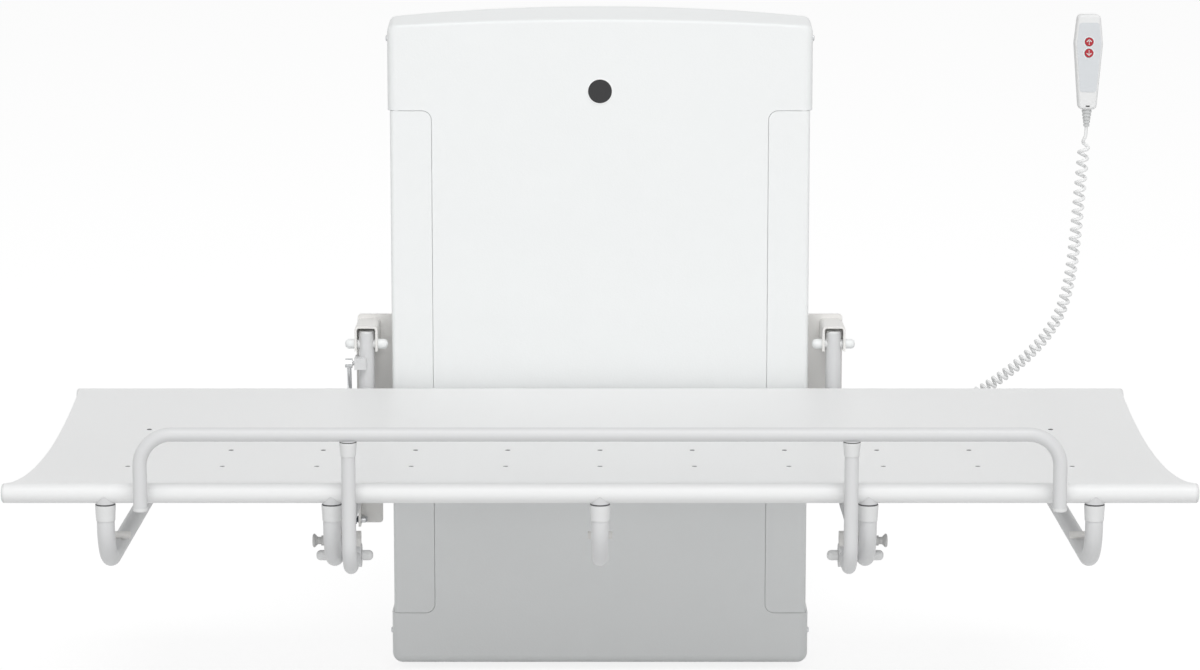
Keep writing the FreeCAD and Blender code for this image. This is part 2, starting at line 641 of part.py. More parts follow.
def pivot_pin(sign):
    start, length = sided(sign, EAR_IN, EAR_OUT)
    return slab("pivot_pin", "YZ", start, length,
                lambda sketch: circle(sketch, "-pivot_line", PIVOT, "pivot_pin"))


def pivot_caps(sign):
    caps = [acorn_cap("pivot_cap", "cap_diameter", "cap_length") for count in range(2)]
    inward = AGAINST_X if sign == "1" else ALONG_X
    place(caps[0], f"{sign} * ({EAR_OUT})", "-pivot_line", PIVOT, outward(sign))
    place(caps[1], f"{sign} * ({EAR_IN})", "-pivot_line", PIVOT, inward)
    return caps


# Gas spring that carries the surface's weight when it folds

STRUT_EYE_IN = f"{EAR_OUT} + strut_stand"
STRUT_MIDDLE = f"{STRUT_EYE_IN} + strut_eye_width / 2"
STRUT_RUN = "(strut_head_line - strut_foot_line)"
STRUT_RISE = "(strut_head_height - strut_foot_height)"


def lean(thing, line_from_wall, height):
    """Stand a piece of the gas spring on its line from foot to head."""
    about_x = FreeCAD.Rotation(Vector(1, 0, 0), 1)
    place(thing, f"-({STRUT_MIDDLE})", f"-{line_from_wall}", level(height), about_x)
    thing.setExpression(".Placement.Rotation.Angle", cells(f"atan2({STRUT_RUN}; {STRUT_RISE})"))
    return thing


def gas_spring():
    stud_end, cone_end = "strut_stand + strut_eye_width + strut_gap", "strut_stand - strut_gap / 2"
    thin = "strut_stud / 2"
    stud = turned("strut_stud", [("0", "-clevis_wall"), (thin, "-clevis_wall"), (thin, "0"),
                                 ("strut_stud", "0"), ("strut_stud * 0.6", cone_end), (thin, cone_end),
                                 (thin, stud_end), ("0", stud_end)])
    foot_line, foot_level = "-strut_foot_line", level("strut_foot_height")
    place(stud, f"-({EAR_OUT})", foot_line, foot_level, AGAINST_X)
    nut = acorn_cap("strut_nut", "strut_stud * 1.6", "strut_stud * 1.4")
    place(nut, f"clevis_wall - ({EAR_OUT})", foot_line, foot_level, ALONG_X)
    group("gas_spring_stud", [stud, nut])
    eye = "-strut_eye_width / 2"
    cylinder = slab("gas_spring_cylinder", "YZ", eye, "strut_eye_width",
                    lambda sketch: circle(sketch, "0", "0", "strut_eye"),
                    lambda sketch: circle(sketch, "0", "0", "strut_stud + 2 * running_fit"))
    neck_low, neck_top = "strut_eye * 0.4", "strut_eye * 0.8"
    pad(cylinder, circle(new_sketch(cylinder, "XY", neck_low), "0", "0", "strut_eye_width * 0.8"),
        f"{neck_top} - {neck_low}")
    floor = f"{neck_top} + strut_floor"
    pad(cylinder, circle(new_sketch(cylinder, "XY", neck_top), "0", "0", "strut_body"), "strut_floor")
    barrel = new_sketch(cylinder, "XY", floor)
    circle(barrel, "0", "0", "strut_body")
    circle(barrel, "0", "0", "strut_rod + 2 * running_fit")
    pad(cylinder, barrel, f"strut_body_length - ({floor})")
    keep("gas_spring_cylinder", lean(cylinder, "strut_foot_line", "strut_foot_height"))
    reach = f"sqrt({STRUT_RUN} ^ 2 + {STRUT_RISE} ^ 2) - ({floor}) - strut_floor"
    rod = slab("gas_spring_rod", "YZ", eye, "strut_eye_width",
               lambda sketch: circle(sketch, "0", "0", "strut_eye"))
    shaft = circle(new_sketch(rod, "XY", f"-({reach})"), "0", "0", "strut_rod")
    pad(rod, shaft, f"{reach} - {neck_low}")
    keep("gas_spring_rod", lean(rod, "strut_head_line", "strut_head_height"))


def strut_lug():
    """A block saddled on the left arm; its stud ends just short of the rod's eye."""
    half = "strut_eye * 0.6"
    body = slab("gas_spring_lug", "XY", f"{level('strut_head_height')} - {half}", f"2 * {half}",
                lambda sketch: rectangle(sketch, f"-({EAR_OUT})", f"-({ARM})", f"-strut_head_line - {half}",
                                         "tube_diameter / 2 - pivot_line"))
    pocket(body, circle(new_sketch(body, "XY"), f"-({ARM})", "-pivot_line", "tube_diameter"))
    start, height = f"strut_gap - ({STRUT_EYE_IN})", level("strut_head_height")
    stud = circle(new_sketch(body, "YZ", start), "-strut_head_line", height, "strut_stud")
    pad(body, stud, f"-({EAR_OUT}) - ({start})")
    keep("gas_spring_lug", body)


beam()
group("guide_shoes", [shoe(way, base) for way in SIDES.values()
                      for base in (level("bracket_low + bracket_wall"),
                                   level("bracket_top - bracket_wall - shoe_length"))])
for name, way in SIDES.items():
    bracket(name, way)
group("pivot_bolts", [piece for way in SIDES.values()
                      for piece in (pivot_pin(way), *pivot_caps(way))])
gas_spring()
strut_lug()


# Joints between a tube and the roll or rail that it carries

ROLL = "roll_tube + 2 * sheet_wall"


def tee_levels(axis, roll, collar, gasket):
    """Undersides of the seat, its gasket and the collar, and the end of the tube in the collar."""
    seat = f"{level(axis)} - ({roll}) / 2 - saddle_floor"
    foot = f"{seat} - {gasket}"
    return seat, foot, f"{foot} - {collar}", f"{foot} - {collar} + socket_depth"


def seat(label, axis, roll, low, height, width):
    """A disc whose top is hollowed to fit under a roll or rail."""
    body = slab(label, "XY", low, height, lambda sketch: circle(sketch, "0", "0", width))
    pocket(body, circle(new_sketch(body, "YZ"), "0", level(axis), roll))
    return body


def collar(top, low, tube_end, tube, rim, flare):
    """A flared cup whose socket takes the tube's end."""
    bore, shoulder = f"{tube} / 2 + push_gap", f"{top} - plug_rim"
    return turned("collar", [("0", tube_end), (bore, tube_end), (bore, low), (f"{rim} / 2", low),
                             (f"{flare} / 2", shoulder), (f"{flare} / 2", top), ("0", top)])


def frame_tee(across, along):
    """Saddle under the roll, flat gasket and collar."""
    axis, roll, width = "roll_height", ROLL, "saddle_diameter"
    saddle_low, top, low, tube_end = tee_levels(axis, roll, "collar_height", "gasket_height")
    saddle = seat("saddle", axis, roll, saddle_low, f"{level(axis)} - ({saddle_low})", width)
    gasket = slab("gasket", "XY", top, "gasket_height", *rings("0", "0", f"{width} + 2 * push_gap"))
    cup = collar(top, low, tube_end, "tube_diameter", "collar_rim", "collar_flare")
    return [place(piece, across, along) for piece in (saddle, gasket, cup)]


def post_tee(sign):
    """Hollowed gasket under the rail and the collar of a post."""
    axis, roll = "rail_height", "rail_diameter"
    top, _, low, tube_end = tee_levels(axis, roll, "post_collar_height", "0")
    gasket = seat("gasket", axis, roll, top, "saddle_floor + seat_rim", "post_collar_flare - plug_lip")
    cup = collar(top, low, tube_end, roll, "post_collar_rim", "post_collar_flare")
    return [place(piece, f"{sign} * post_pitch / 2", "-rail_line") for piece in (gasket, cup)]


# Lying surface and its tube frame

FRAME_END = tee_levels("roll_height", ROLL, "collar_height", "gasket_height")[-1]
CROSS_TUBES = {"left": "-outer_tube_pitch / 2", "centre": "0", "right": "outer_tube_pitch / 2"}
DRAIN_ROWS, DRAIN_COLUMNS = 3, 11


def lying_surface():
    """One sheet, rolled around a tube at each long edge and slung from the tops of both rolls."""
    body = new_body("lying_surface")
    ends, height, start = ("-front_roll", "-rear_roll"), level("roll_height"), "-table_length / 2"
    rolls = new_sketch(body, "YZ", start)
    for along in ends:
        circle(rolls, along, height, ROLL)
    chord = "(front_roll - rear_roll) / 2"
    radius = f"(({chord}) ^ 2 + sheet_sag ^ 2) / (2 * sheet_sag)"
    dish = new_sketch(body, "YZ", start)
    upper = f"{height} + ({ROLL}) / 2"
    lower = f"{upper} - sheet_wall"
    arc(dish, (ends[0], lower), (ends[1], lower), radius)
    arc(dish, (ends[0], upper), (ends[1], upper), radius)
    for along in ends:
        line(dish, (along, lower), (along, upper))
    pad(body, dish, "table_length")
    pad(body, rolls, "table_length")
    bores = new_sketch(body, "YZ", start)
    for along in ends:
        circle(bores, along, height, "roll_tube + 2 * push_gap")
    pocket(body, bores)
    holes = new_sketch(body, "XY")
    for row in range(DRAIN_ROWS):
        circle(holes, "drain_margin - table_length / 2",
               f"-rear_roll - drain_setback - {row} * drain_row", "drain_diameter")
    drains = pocket(body, holes)
    pattern = body.newObject("PartDesign::LinearPattern", "DrainPattern")
    pattern.Originals = [drains]
    pattern.Direction = (holes, ["H_Axis"])
    pattern.setExpression("Length", cells("table_length - 2 * drain_margin"))
    pattern.Occurrences = DRAIN_COLUMNS
    body.Tip = pattern
    keep("lying_surface", body)


def roll_tube(label, along):
    body = slab(label, "YZ", "-table_length / 2", "table_length",
                *rings(along, level("roll_height"), "roll_tube", "roll_tube - 2 * roll_wall"))
    keep(label, body)


def roll_cap(sign, along):
    bore = "roll_tube / 2 - roll_wall - push_gap"
    rim = f"({ROLL}) / 2 - push_gap"
    body = turned("roll_cap", [("0", "-bore_depth"), (bore, "-bore_depth"), (bore, "0"), (rim, "0"),
                               (rim, "cap_reach / 2"), (f"{rim} - cap_reach / 2", "cap_reach"),
                               ("0", "cap_reach")])
    return place(body, f"{sign} * table_length / 2", along, level("roll_height"), outward(sign))


def cross_tube(side, across):
    corners = [("-front_roll", FRAME_END), ("-front_roll", level("tube_height")),
               ("-rear_roll", level("tube_height")), ("-rear_roll", FRAME_END)]
    bends = ["tube_bend", "tube_bend"]
    body = bent_tube(side + "_cross_tube", "YZ", corners, bends, "tube_diameter", "tube_wall")
    keep(side + "_cross_tube", place(body, across))


def arm(side, sign):
    """The tube that hangs from a side pivot, runs forward and turns up to the front roll."""
    corners = [("-pivot_line", level("arm_top")), ("-pivot_line", level("tube_height")),
               ("-front_roll", level("tube_height")), ("-front_roll", FRAME_END)]
    body = bent_tube(side + "_arm", "YZ", corners, ["arm_bend", "tube_bend"], "tube_diameter", "tube_wall")
    holes = circle(new_sketch(body, "YZ"), "-pivot_line", PIVOT, "bush_diameter + 2 * push_gap")
    circle(holes, "-hinge_line", level("hinge_height"), "hinge_bolt + 2 * push_gap")
    pocket(body, holes)
    keep(side + "_arm", place(body, f"{sign} * ({ARM})"))


def arm_plug(sign):
    rim, bore = "tube_diameter / 2", "tube_diameter / 2 - tube_wall - push_gap"
    body = turned("arm_plug", [("0", "-bore_depth"), (bore, "-bore_depth"), (bore, "0"), (rim, "0"),
                               (f"{rim} - plug_rim / 2", "plug_rim"), ("0", "plug_rim")])
    return place(body, f"{sign} * ({ARM})", "-pivot_line", level("arm_top"))


def pivot_bush(sign):
    length = "clevis_width - 2 * clevis_wall - 2 * bush_gap"
    start, run = sided(sign, f"{ARM} - ({length}) / 2", f"{ARM} + ({length}) / 2")
    return slab("pivot_bush", "YZ", start, run,
                *rings("-pivot_line", PIVOT, "bush_diameter", "pivot_pin + 2 * running_fit"))


def rear_stub(sign):
    """A short coped tube that ties the rear roll to an arm."""
    body = slab("rear_stub", "XZ", "pivot_line", "rear_roll - pivot_line",
                lambda sketch: circle(sketch, "0", level("roll_height"), "stub_diameter"))
    pocket(body, circle(new_sketch(body, "XY"), "0", "-pivot_line", "tube_diameter"))
    pocket(body, circle(new_sketch(body, "YZ"), "-rear_roll", level("roll_height"), ROLL))
    return place(body, f"{sign} * ({ARM})")


def cross_peg(across):
    """A short bar across the top of a frame tube, notched to sit on it."""
    height = level("tube_height")
    body = new_body("cross_peg")
    bar = circle(new_sketch(body, "YZ"), "-peg_line", f"{height} + peg_rise", "peg_diameter")
    pad(body, bar, "peg_length", True)
    pocket(body, circle(new_sketch(body, "XZ"), "0", height, "tube_diameter"))
    return place(body, across)


# Safety rail

RAIL_LEVEL, HINGE = level("rail_height"), level("hinge_height")
POST_END = tee_levels("rail_height", "rail_diameter", "post_collar_height", "0")[-1]
ARM_SKIN, POST_SKIN = f"{ARM} - tube_diameter / 2", "post_pitch / 2 + rail_diameter / 2"


def rail_tube():
    half, end = "rail_span / 2", level("rail_end")
    corners = [(f"-{half}", end), (f"-{half}", RAIL_LEVEL), (half, RAIL_LEVEL), (half, end)]
    bends = ["rail_bend", "rail_bend"]
    body = bent_tube("rail_tube", "XZ", corners, bends, "rail_diameter", "rail_wall")
    keep("rail_tube", place(body, "0", "-rail_line"))


def rail_plug(sign):
    rim, corner = "rail_diameter / 2 + plug_lip", "plug_length / 4"
    body = turned("rail_plug", [("0", "0"), (rim, "0"), (rim, f"{corner} - plug_length"),
                                (f"{rim} - {corner}", "-plug_length"), ("0", "-plug_length")])
    return place(body, f"{sign} * rail_span / 2", "-rail_line", level("rail_end"))


def post(side, sign):
    """A post that hangs from the rail, turns under the roll and ends in the eye of its hinge."""
    corners = [("-rail_line", POST_END), ("-rail_line", HINGE), ("-hinge_line", HINGE)]
    body = bent_tube(side + "_post", "YZ", corners, ["post_bend"], "rail_diameter", "rail_wall")
    pad(body, circle(new_sketch(body, "YZ"), "-hinge_line", HINGE, "hinge_eye"), "rail_diameter", True)
    pocket(body, circle(new_sketch(body, "YZ"), "-hinge_line", HINGE, "hinge_bolt + 2 * running_fit"))
    keep(side + "_post", place(body, f"{sign} * post_pitch / 2"))


def lock_cam(sign):
    """A leaf on the hinge eye that stands in front of the latch pin and leans to the wall."""
    shape = [(0.5, 0.36), (0.75, 0.7), (0.5, 1), (0.05, 0.95), (-0.4, 0.7), (-0.5, 0.36)]
    corners = [(f"{along} * cam_width - hinge_line", f"{HINGE} + {up} * cam_rise") for along, up in shape]
    body = new_body("lock_cam")
    pad(body, outline(new_sketch(body, "YZ"), corners), "cam_wall", True)
    pocket(body, circle(new_sketch(body, "YZ"), "-hinge_line", HINGE, "hinge_eye"))
    crest = value(f"{HINGE} + 0.6 * cam_rise")
    fillet(body, "cam_width / 6", lambda edge: edge.BoundBox.XLength > 1 and edge.BoundBox.ZMin > crest)
    return place(body, f"{sign} * post_pitch / 2")


HINGE_IN, HINGE_OUT = "post_pitch / 2 - rail_diameter / 2 - latch_clear", f"{ARM} + tube_diameter / 2"


def hinge_bolt(sign):
    start, length = sided(sign, HINGE_IN, HINGE_OUT)
    return slab("hinge_bolt", "YZ", start, length,
                lambda sketch: circle(sketch, "-hinge_line", HINGE, "hinge_bolt"))


def hinge_caps(sign):
    caps = [acorn_cap("hinge_cap", "hinge_cap", "hinge_cap_length") for count in range(2)]
    inward = AGAINST_X if sign == "1" else ALONG_X
    place(caps[0], f"{sign} * ({HINGE_OUT})", "-hinge_line", HINGE, outward(sign))
    place(caps[1], f"{sign} * ({HINGE_IN})", "-hinge_line", HINGE, inward)
    return caps


def hinge_spacer(sign):
    start, length = sided(sign, f"{POST_SKIN} + latch_clear", ARM_SKIN)
    return slab("hinge_spacer", "YZ", start, length,
                *rings("-hinge_line", HINGE, "hinge_bolt * 1.8", "hinge_bolt + 2 * push_gap"))


# Latches

LATCH = level("latch_height")


def latch_housing(sign):
    """A bush across the top of the arm, notched to sit on it."""
    start, length = sided(sign, ARM_SKIN, f"{HINGE_OUT} + latch_collar_length")
    body = slab("latch_housing", "YZ", start, length,
                *rings("-hinge_line", LATCH, "latch_collar", "latch_pin + 2 * running_fit"))
    pocket(body, circle(new_sketch(body, "XZ"), f"{sign} * ({ARM})", level("tube_height"), "tube_diameter"))
    return body


def latch_knob(side, sign):
    """A pull knob: flared head, neck and the pin that reaches through its bush to the cam."""
    tip = "post_pitch / 2 + cam_wall / 2 + cam_pin_gap - arm_pitch / 2"
    seat = "tube_diameter / 2 + latch_collar_length + latch_clear"
    pin, neck, head = "latch_pin / 2", "latch_neck / 2", "latch_head / 2"
    neck_end, rim_low, rim_high, end = (f"{seat} + latch_head_length * {share}"
                                        for share in (0.4, 0.75, 0.9, 1))
    body = turned(side + "_latch_knob", [
        ("0", tip), (pin, tip), (pin, seat), (neck, seat), (neck, neck_end), (head, rim_low),
        (head, rim_high), (f"{head} * 0.8", end), ("0", end)])
    keep(side + "_latch_knob", place(body, f"{sign} * ({ARM})", "-hinge_line", LATCH, outward(sign)))


lying_surface()
roll_tube("front_roll_tube", "-front_roll")
roll_tube("rear_roll_tube", "-rear_roll")
group("roll_caps", [roll_cap(way, along) for way in SIDES.values()
                    for along in ("-front_roll", "-rear_roll")])
for name, position in CROSS_TUBES.items():
    cross_tube(name, position)
for name, way in SIDES.items():
    arm(name, way)
    post(name, way)
    latch_knob(name, way)
arm_places = [f"{way} * ({ARM})" for way in SIDES.values()]
tube_places = [*CROSS_TUBES.values(), *arm_places]
front_tees = [frame_tee(position, "-front_roll") for position in tube_places]
rear_tees = [frame_tee(position, "-rear_roll") for position in CROSS_TUBES.values()]
saddles, gaskets, collars = zip(*front_tees, *rear_tees)
group("frame_saddles", [*saddles, *(rear_stub(way) for way in SIDES.values())])
group("frame_gaskets", list(gaskets))
group("frame_collars", list(collars))
gaskets, collars = zip(*(post_tee(way) for way in SIDES.values()))
group("post_gaskets", list(gaskets))
group("post_collars", list(collars))
group("cross_pegs", [cross_peg(position) for position in tube_places])
rail_tube()
for label, piece in (("arm_plugs", arm_plug), ("pivot_bushes", pivot_bush), ("rail_plugs", rail_plug),
                     ("lock_cams", lock_cam), ("hinge_spacers", hinge_spacer),
                     ("latch_housings", latch_housing)):
    group(label, [piece(way) for way in SIDES.values()])
group("hinge_bolts", [piece for way in SIDES.values()
                      for piece in (hinge_bolt(way), *hinge_caps(way))])


# Handset and its wall hook

HANDSET_SKIN = "handset_front - handset_thick"
HANDSET_MIDDLE = "handset_front - handset_thick / 2"
GLAND_FOOT = "(column_pitch + column_width) / 2"
RELIEF_RIBS, RIB_SHARE = 5, 0.6
BUTTONS = {"up_button": level("handset_low + upper_button"),
           "down_button": level("handset_low + lower_button")}


def handset_outline(inset, low, high):
    """Half widths of the tapered handset between two distances from its lower end."""
    foot, waist, top = "handset_foot_width / 2", "handset_width / 2", "handset_top_width / 2"
    lower = f"{foot} + ({waist} - {foot}) * ({low}) / handset_waist - ({inset})"
    taper = f"({high} - handset_waist) / (handset_length - handset_waist)"
    upper = f"{waist} - ({waist} - {top}) * {taper} - ({inset})"
    base = level("handset_low")
    right = [(lower, f"{base} + {low}"), (f"{waist} - ({inset})", f"{base} + handset_waist"),
             (upper, f"{base} + {high}")]
    return right + [(f"-({across})", up) for across, up in reversed(right)]


def handset():
    """Tapered grip with button wells, a slot near its foot and, behind, the clip for the hook."""
    body = slab("handset_shell", "XZ", HANDSET_SKIN, "handset_thick",
                lambda sketch: outline(sketch, handset_outline("0", "0", "handset_length")))
    fillet(body, "handset_round * 1.6", along_y)
    fillet(body, "handset_round", lambda edge: edge.BoundBox.YLength < 1e-6)
    wells = new_sketch(body, "XZ", "handset_front")
    for height in BUTTONS.values():
        circle(wells, "0", height, "button_diameter + 2 * button_gap")
    slot = level("handset_low + slot_rise")
    rectangle(wells, "-slot_width / 2", "slot_width / 2",
              f"{slot} - slot_height / 2", f"{slot} + slot_height / 2")
    cut = body.newObject("PartDesign::Pocket", "Wells")
    cut.Profile = wells
    cut.setExpression("Length", cells("button_well"))
    lip = level("handset_low + handset_waist")
    under, over, tip = f"{lip} + button_gap", f"{lip} + button_gap + hook_wall", f"{lip} - hook_lip / 2"
    skin, inside = f"-({HANDSET_SKIN})", f"hook_wall + 2 * button_gap - ({HANDSET_SKIN})"
    finger = [(skin, under), (skin, over), (f"{inside} + hook_wall", over), (f"{inside} + hook_wall", tip)]
    finger += [(inside, tip), (inside, under)]
    pad(body, outline(new_sketch(body, "YZ"), finger), "hook_width", True)
    keep("handset_shell", place(body, "handset_across"))


def keypad_foil():
    body = slab("keypad_foil", "XZ", "handset_front", "foil_wall",
                lambda sketch: outline(sketch, handset_outline("foil_inset", "foil_low", "foil_high")),
                *(lambda sketch, up=up: circle(sketch, "0", up, "button_diameter + 2 * button_gap")
                  for up in BUTTONS.values()))
    fillet(body, "handset_round", along_foil)
    keep("keypad_foil", place(body, "handset_across"))


def along_foil(edge):
    return 0.1 < edge.BoundBox.YLength and edge.BoundBox.XLength + edge.BoundBox.ZLength < 1e-6


def button(label, height):
    travel = "button_well - 2 * button_gap"
    body = slab(label, "XZ", f"handset_front - button_well + {travel}", "button_thick",
                lambda sketch: circle(sketch, "0", height, "button_diameter"))
    keep(label, place(body, "handset_across"))


def wall_hook():
    """A small plate screwed to the wall with a turned-up lip."""
    lip = level("handset_low + handset_waist")
    base = f"{lip} - hook_lip - hook_wall"
    front = f"button_gap - ({HANDSET_SKIN})"
    inside, shelf = f"{front} + hook_wall", f"{base} + hook_wall"
    corners = [("0", f"{base} - hook_plate / 2"), ("0", f"{base} + hook_plate / 2"),
               ("-hook_wall", f"{base} + hook_plate / 2"), ("-hook_wall", shelf)]
    corners += [(inside, shelf), (inside, lip), (front, lip), (front, base), ("-hook_wall", base)]
    corners += [("-hook_wall", f"{base} - hook_plate / 2")]
    body = new_body("handset_hook")
    pad(body, outline(new_sketch(body, "YZ"), corners), "hook_width", True)
    screws = new_sketch(body, "XZ")
    for way in SIDES.values():
        circle(screws, "0", f"{base} + {way} * hook_screw_pitch / 2", "hook_screw")
    pocket(body, screws)
    keep("handset_hook", place(body, "handset_across"))


def strain_relief():
    """A tapered, ribbed sleeve around the cord where it leaves the handset."""
    def radius(share):
        return f"(relief_foot + (relief_top - relief_foot) * {share}) / 2"

    def height(share):
        return f"relief_length * ({share} - 1)"

    corners = [("0", height(0))]
    for rib in range(RELIEF_RIBS):
        start, end, following = (place_of / RELIEF_RIBS for place_of in (rib, rib + RIB_SHARE, rib + 1))
        corners += [(radius(start), height(start)), (radius(end), height(end))]
        corners += [(f"{radius(share)} - relief_groove", height(share)) for share in (end, following)]
    body = turned("strain_relief", corners + [("0", height(1))])
    keep("strain_relief", place(body, "handset_across", f"-({HANDSET_MIDDLE})", level("handset_low")))


def cord_gland():
    rim = "gland_diameter / 2"
    body = turned("cord_gland", [("0", "0"), (rim, "0"), (rim, "gland_length / 2"),
                                 ("gland_diameter / 3", "gland_length"), ("0", "gland_length")])
    keep("cord_gland", place(body, GLAND_FOOT, "-cord_line", level("gland_height"), ALONG_X))


# Curly cord from the handset to the gland

# Points of the hanging line as shares of the way across and up from the gland to the handset
CURLED = [(0.992, 0.934), (0.974, 0.704), (0.959, 0.551), (0.927, 0.429), (0.874, 0.352), (0.803, 0.284),
          (0.730, 0.232), (0.659, 0.188), (0.593, 0.155)]
TAIL = [(0.494, 0.113), (0.392, 0.073), (0.289, 0.038), (0.185, 0.012), (0.091, 0.002)]
CURL_TURNS = 36
PITCH_FALL = 0.65
CORD_SIDES = 6
# Steps of the gap measure, in cord radii: between points, and along the cord to the next curl
POINT_STEP, CURL_SPACE = 0.7, 8


def biarc(start, start_way, end, end_way):
    """Two arcs that leave and reach two points along given directions."""
    step = end - start
    ways = start_way + end_way
    bend = 2 * (1 - start_way.dot(end_way))
    reach = (math.sqrt(step.dot(ways) ** 2 + bend * step.dot(step)) - step.dot(ways)) / bend
    corners = (start + start_way * reach, end - end_way * reach)
    middle = (corners[0] + corners[1]) * 0.5
    return [tangent_arc(start, corners[0], middle), tangent_arc(middle, corners[1], end)]


def tangent_arc(first, corner, last):
    """The arc between two points whose end tangents meet in a corner."""
    chord_middle = (first + last) * 0.5
    rise = (corner - chord_middle).Length
    half = (last - first).Length / 2
    if rise < 1e-6:
        return Part.LineSegment(first, last).toShape()
    sagitta = half * math.tan(math.atan2(rise, half) / 2)
    return Part.Arc(first, chord_middle + (corner - chord_middle) * (sagitta / rise), last).toShape()


def cord_route():
    """Points and directions along the cord: straight out of the relief, curls, then the tail."""
    top = Vector(value("handset_across"), -value(HANDSET_MIDDLE),
                 value(level("handset_low - relief_length")))
    end = Vector(value(f"{GLAND_FOOT} + gland_length"), -value("cord_line"),
                 value(level("gland_height")))
    straight = top - Vector(0, 0, 2 * value("cord_diameter"))
    span = top - end
    line_of = [straight]
    for index, (across, up) in enumerate(CURLED + TAIL):
        outwards = 1 - min(1, index / (len(CURLED) - 1))
        line_of.append(end + Vector(span.x * across, span.y * outwards, span.z * up))
    line_of.append(end)
    middle = Part.BSplineCurve()
    middle.interpolate(Points=line_of, InitialTangent=Vector(0, 0, -1), FinalTangent=Vector(-1, 0, 0))
    curl_end = middle.parameter(line_of[len(CURLED)])
    radius = (value("curl_diameter") - value("cord_diameter")) / 2
    side = Vector(0, 1, 0)

    def turn_share(share):
        return (share + PITCH_FALL * share * share / 2) / (1 + PITCH_FALL / 2)

    def curl_point(share):
        spot = middle.parameter(line_of[0]) + (curl_end - middle.parameter(line_of[0])) * share
        way = Vector(*middle.tangent(spot)[0])
        across = side.cross(way).normalize()
        inward = way.cross(across)
        turns = CURL_TURNS * turn_share(share)
        angle = 2 * math.pi * turns
        return middle.value(spot) + (across * math.cos(angle) + inward * math.sin(angle)) * radius

    def share_at(turns):
        wanted = turns / CURL_TURNS * (1 + PITCH_FALL / 2)
        return (math.sqrt(1 + 2 * PITCH_FALL * wanted) - 1) / PITCH_FALL

    stations = [(top, Vector(0, 0, -1)), (straight, Vector(0, 0, -1))]
    for half_turn in range(2, 2 * CURL_TURNS - 1):
        share, small = share_at(half_turn / 2), 1e-4
        way = curl_point(share + small) - curl_point(share - small)
        stations.append((curl_point(share), way.normalize()))
    for point in line_of[len(CURLED) + 1:]:
        stations.append((point, Vector(*middle.tangent(middle.parameter(point))[0])))
    return stations


def curly_cord():
    stations = cord_route()
    edges = [Part.LineSegment(stations[0][0], stations[1][0]).toShape()]
    for (start, start_way), (end, end_way) in zip(stations[1:], stations[2:]):
        edges += biarc(start, start_way, end, end_way)
    path = Part.Wire(edges)
    radius = value("cord_diameter / 2")
    turns = [2 * math.pi * count / CORD_SIDES for count in range(CORD_SIDES + 1)]
    section = Part.makePolygon([stations[0][0] + Vector(math.cos(turn), math.sin(turn), 0) * radius
                                for turn in turns])
    solid = path.makePipeShell([section], True, False)
    radii = [edge.Curve.Radius for edge in edges if hasattr(edge.Curve, "Radius")]
    print("cord length", round(path.Length), "least bend", round(min(radii), 2), "volume share",
          round(solid.Volume / (Part.Face(section).Area * path.Length), 4))
    points = path.discretize(Distance=radius * POINT_STEP)
    apart = round(CURL_SPACE / POINT_STEP)
    gap = min((near - far).Length for index, near in enumerate(points) for far in points[index + apart:])
    print("cord least gap to itself", round(gap - 2 * radius, 2))
    cord = doc.addObject("Part::Feature", "curly_cord")
    cord.Shape = solid
    keep("curly_cord", cord)


handset()
keypad_foil()
for label, height in BUTTONS.items():
    button(label, height)
wall_hook()
strain_relief()
cord_gland()
curly_cord()


# Checks and files

doc.recompute()
for item in doc.Objects:
    if "Invalid" in item.State or "Error" in item.State:
        raise RuntimeError(f"{item.Name} in {[p.Label for p in item.InList]} failed: {item.State}")
for label, part in nodes.items():
    if part.Shape.isNull() or not part.Shape.isValid():
        raise RuntimeError(label + " has no valid shape")
    if not part.Shape.Solids:
        raise RuntimeError(label + " holds no solid")
os.makedirs("parts", exist_ok=True)
for label, part in nodes.items():
    part.Shape.exportStep(f"parts/{label}.step")
print(len(nodes), "sub-parts written")
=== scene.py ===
import math

import bpy
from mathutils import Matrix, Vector


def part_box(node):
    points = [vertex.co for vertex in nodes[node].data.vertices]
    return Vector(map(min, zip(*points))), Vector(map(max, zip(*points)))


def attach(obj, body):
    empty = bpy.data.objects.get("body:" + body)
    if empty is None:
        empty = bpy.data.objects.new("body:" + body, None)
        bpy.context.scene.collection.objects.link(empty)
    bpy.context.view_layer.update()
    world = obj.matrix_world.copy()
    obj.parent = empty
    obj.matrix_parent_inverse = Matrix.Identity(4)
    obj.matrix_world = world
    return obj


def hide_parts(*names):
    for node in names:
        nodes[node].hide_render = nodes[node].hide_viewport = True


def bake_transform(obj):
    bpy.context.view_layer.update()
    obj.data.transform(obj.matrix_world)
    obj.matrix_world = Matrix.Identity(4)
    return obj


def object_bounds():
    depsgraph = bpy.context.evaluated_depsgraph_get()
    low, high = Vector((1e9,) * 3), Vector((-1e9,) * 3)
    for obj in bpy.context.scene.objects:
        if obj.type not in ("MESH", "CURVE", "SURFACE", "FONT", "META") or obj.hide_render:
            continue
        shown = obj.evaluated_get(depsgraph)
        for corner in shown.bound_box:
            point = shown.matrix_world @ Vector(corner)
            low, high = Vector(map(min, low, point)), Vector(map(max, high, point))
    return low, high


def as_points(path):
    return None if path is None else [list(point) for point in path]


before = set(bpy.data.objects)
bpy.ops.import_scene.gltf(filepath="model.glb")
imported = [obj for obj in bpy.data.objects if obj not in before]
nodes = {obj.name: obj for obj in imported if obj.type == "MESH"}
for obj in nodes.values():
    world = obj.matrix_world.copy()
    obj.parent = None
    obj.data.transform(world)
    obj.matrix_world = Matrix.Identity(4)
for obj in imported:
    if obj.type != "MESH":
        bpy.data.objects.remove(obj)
cad_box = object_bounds()


# Shader helpers

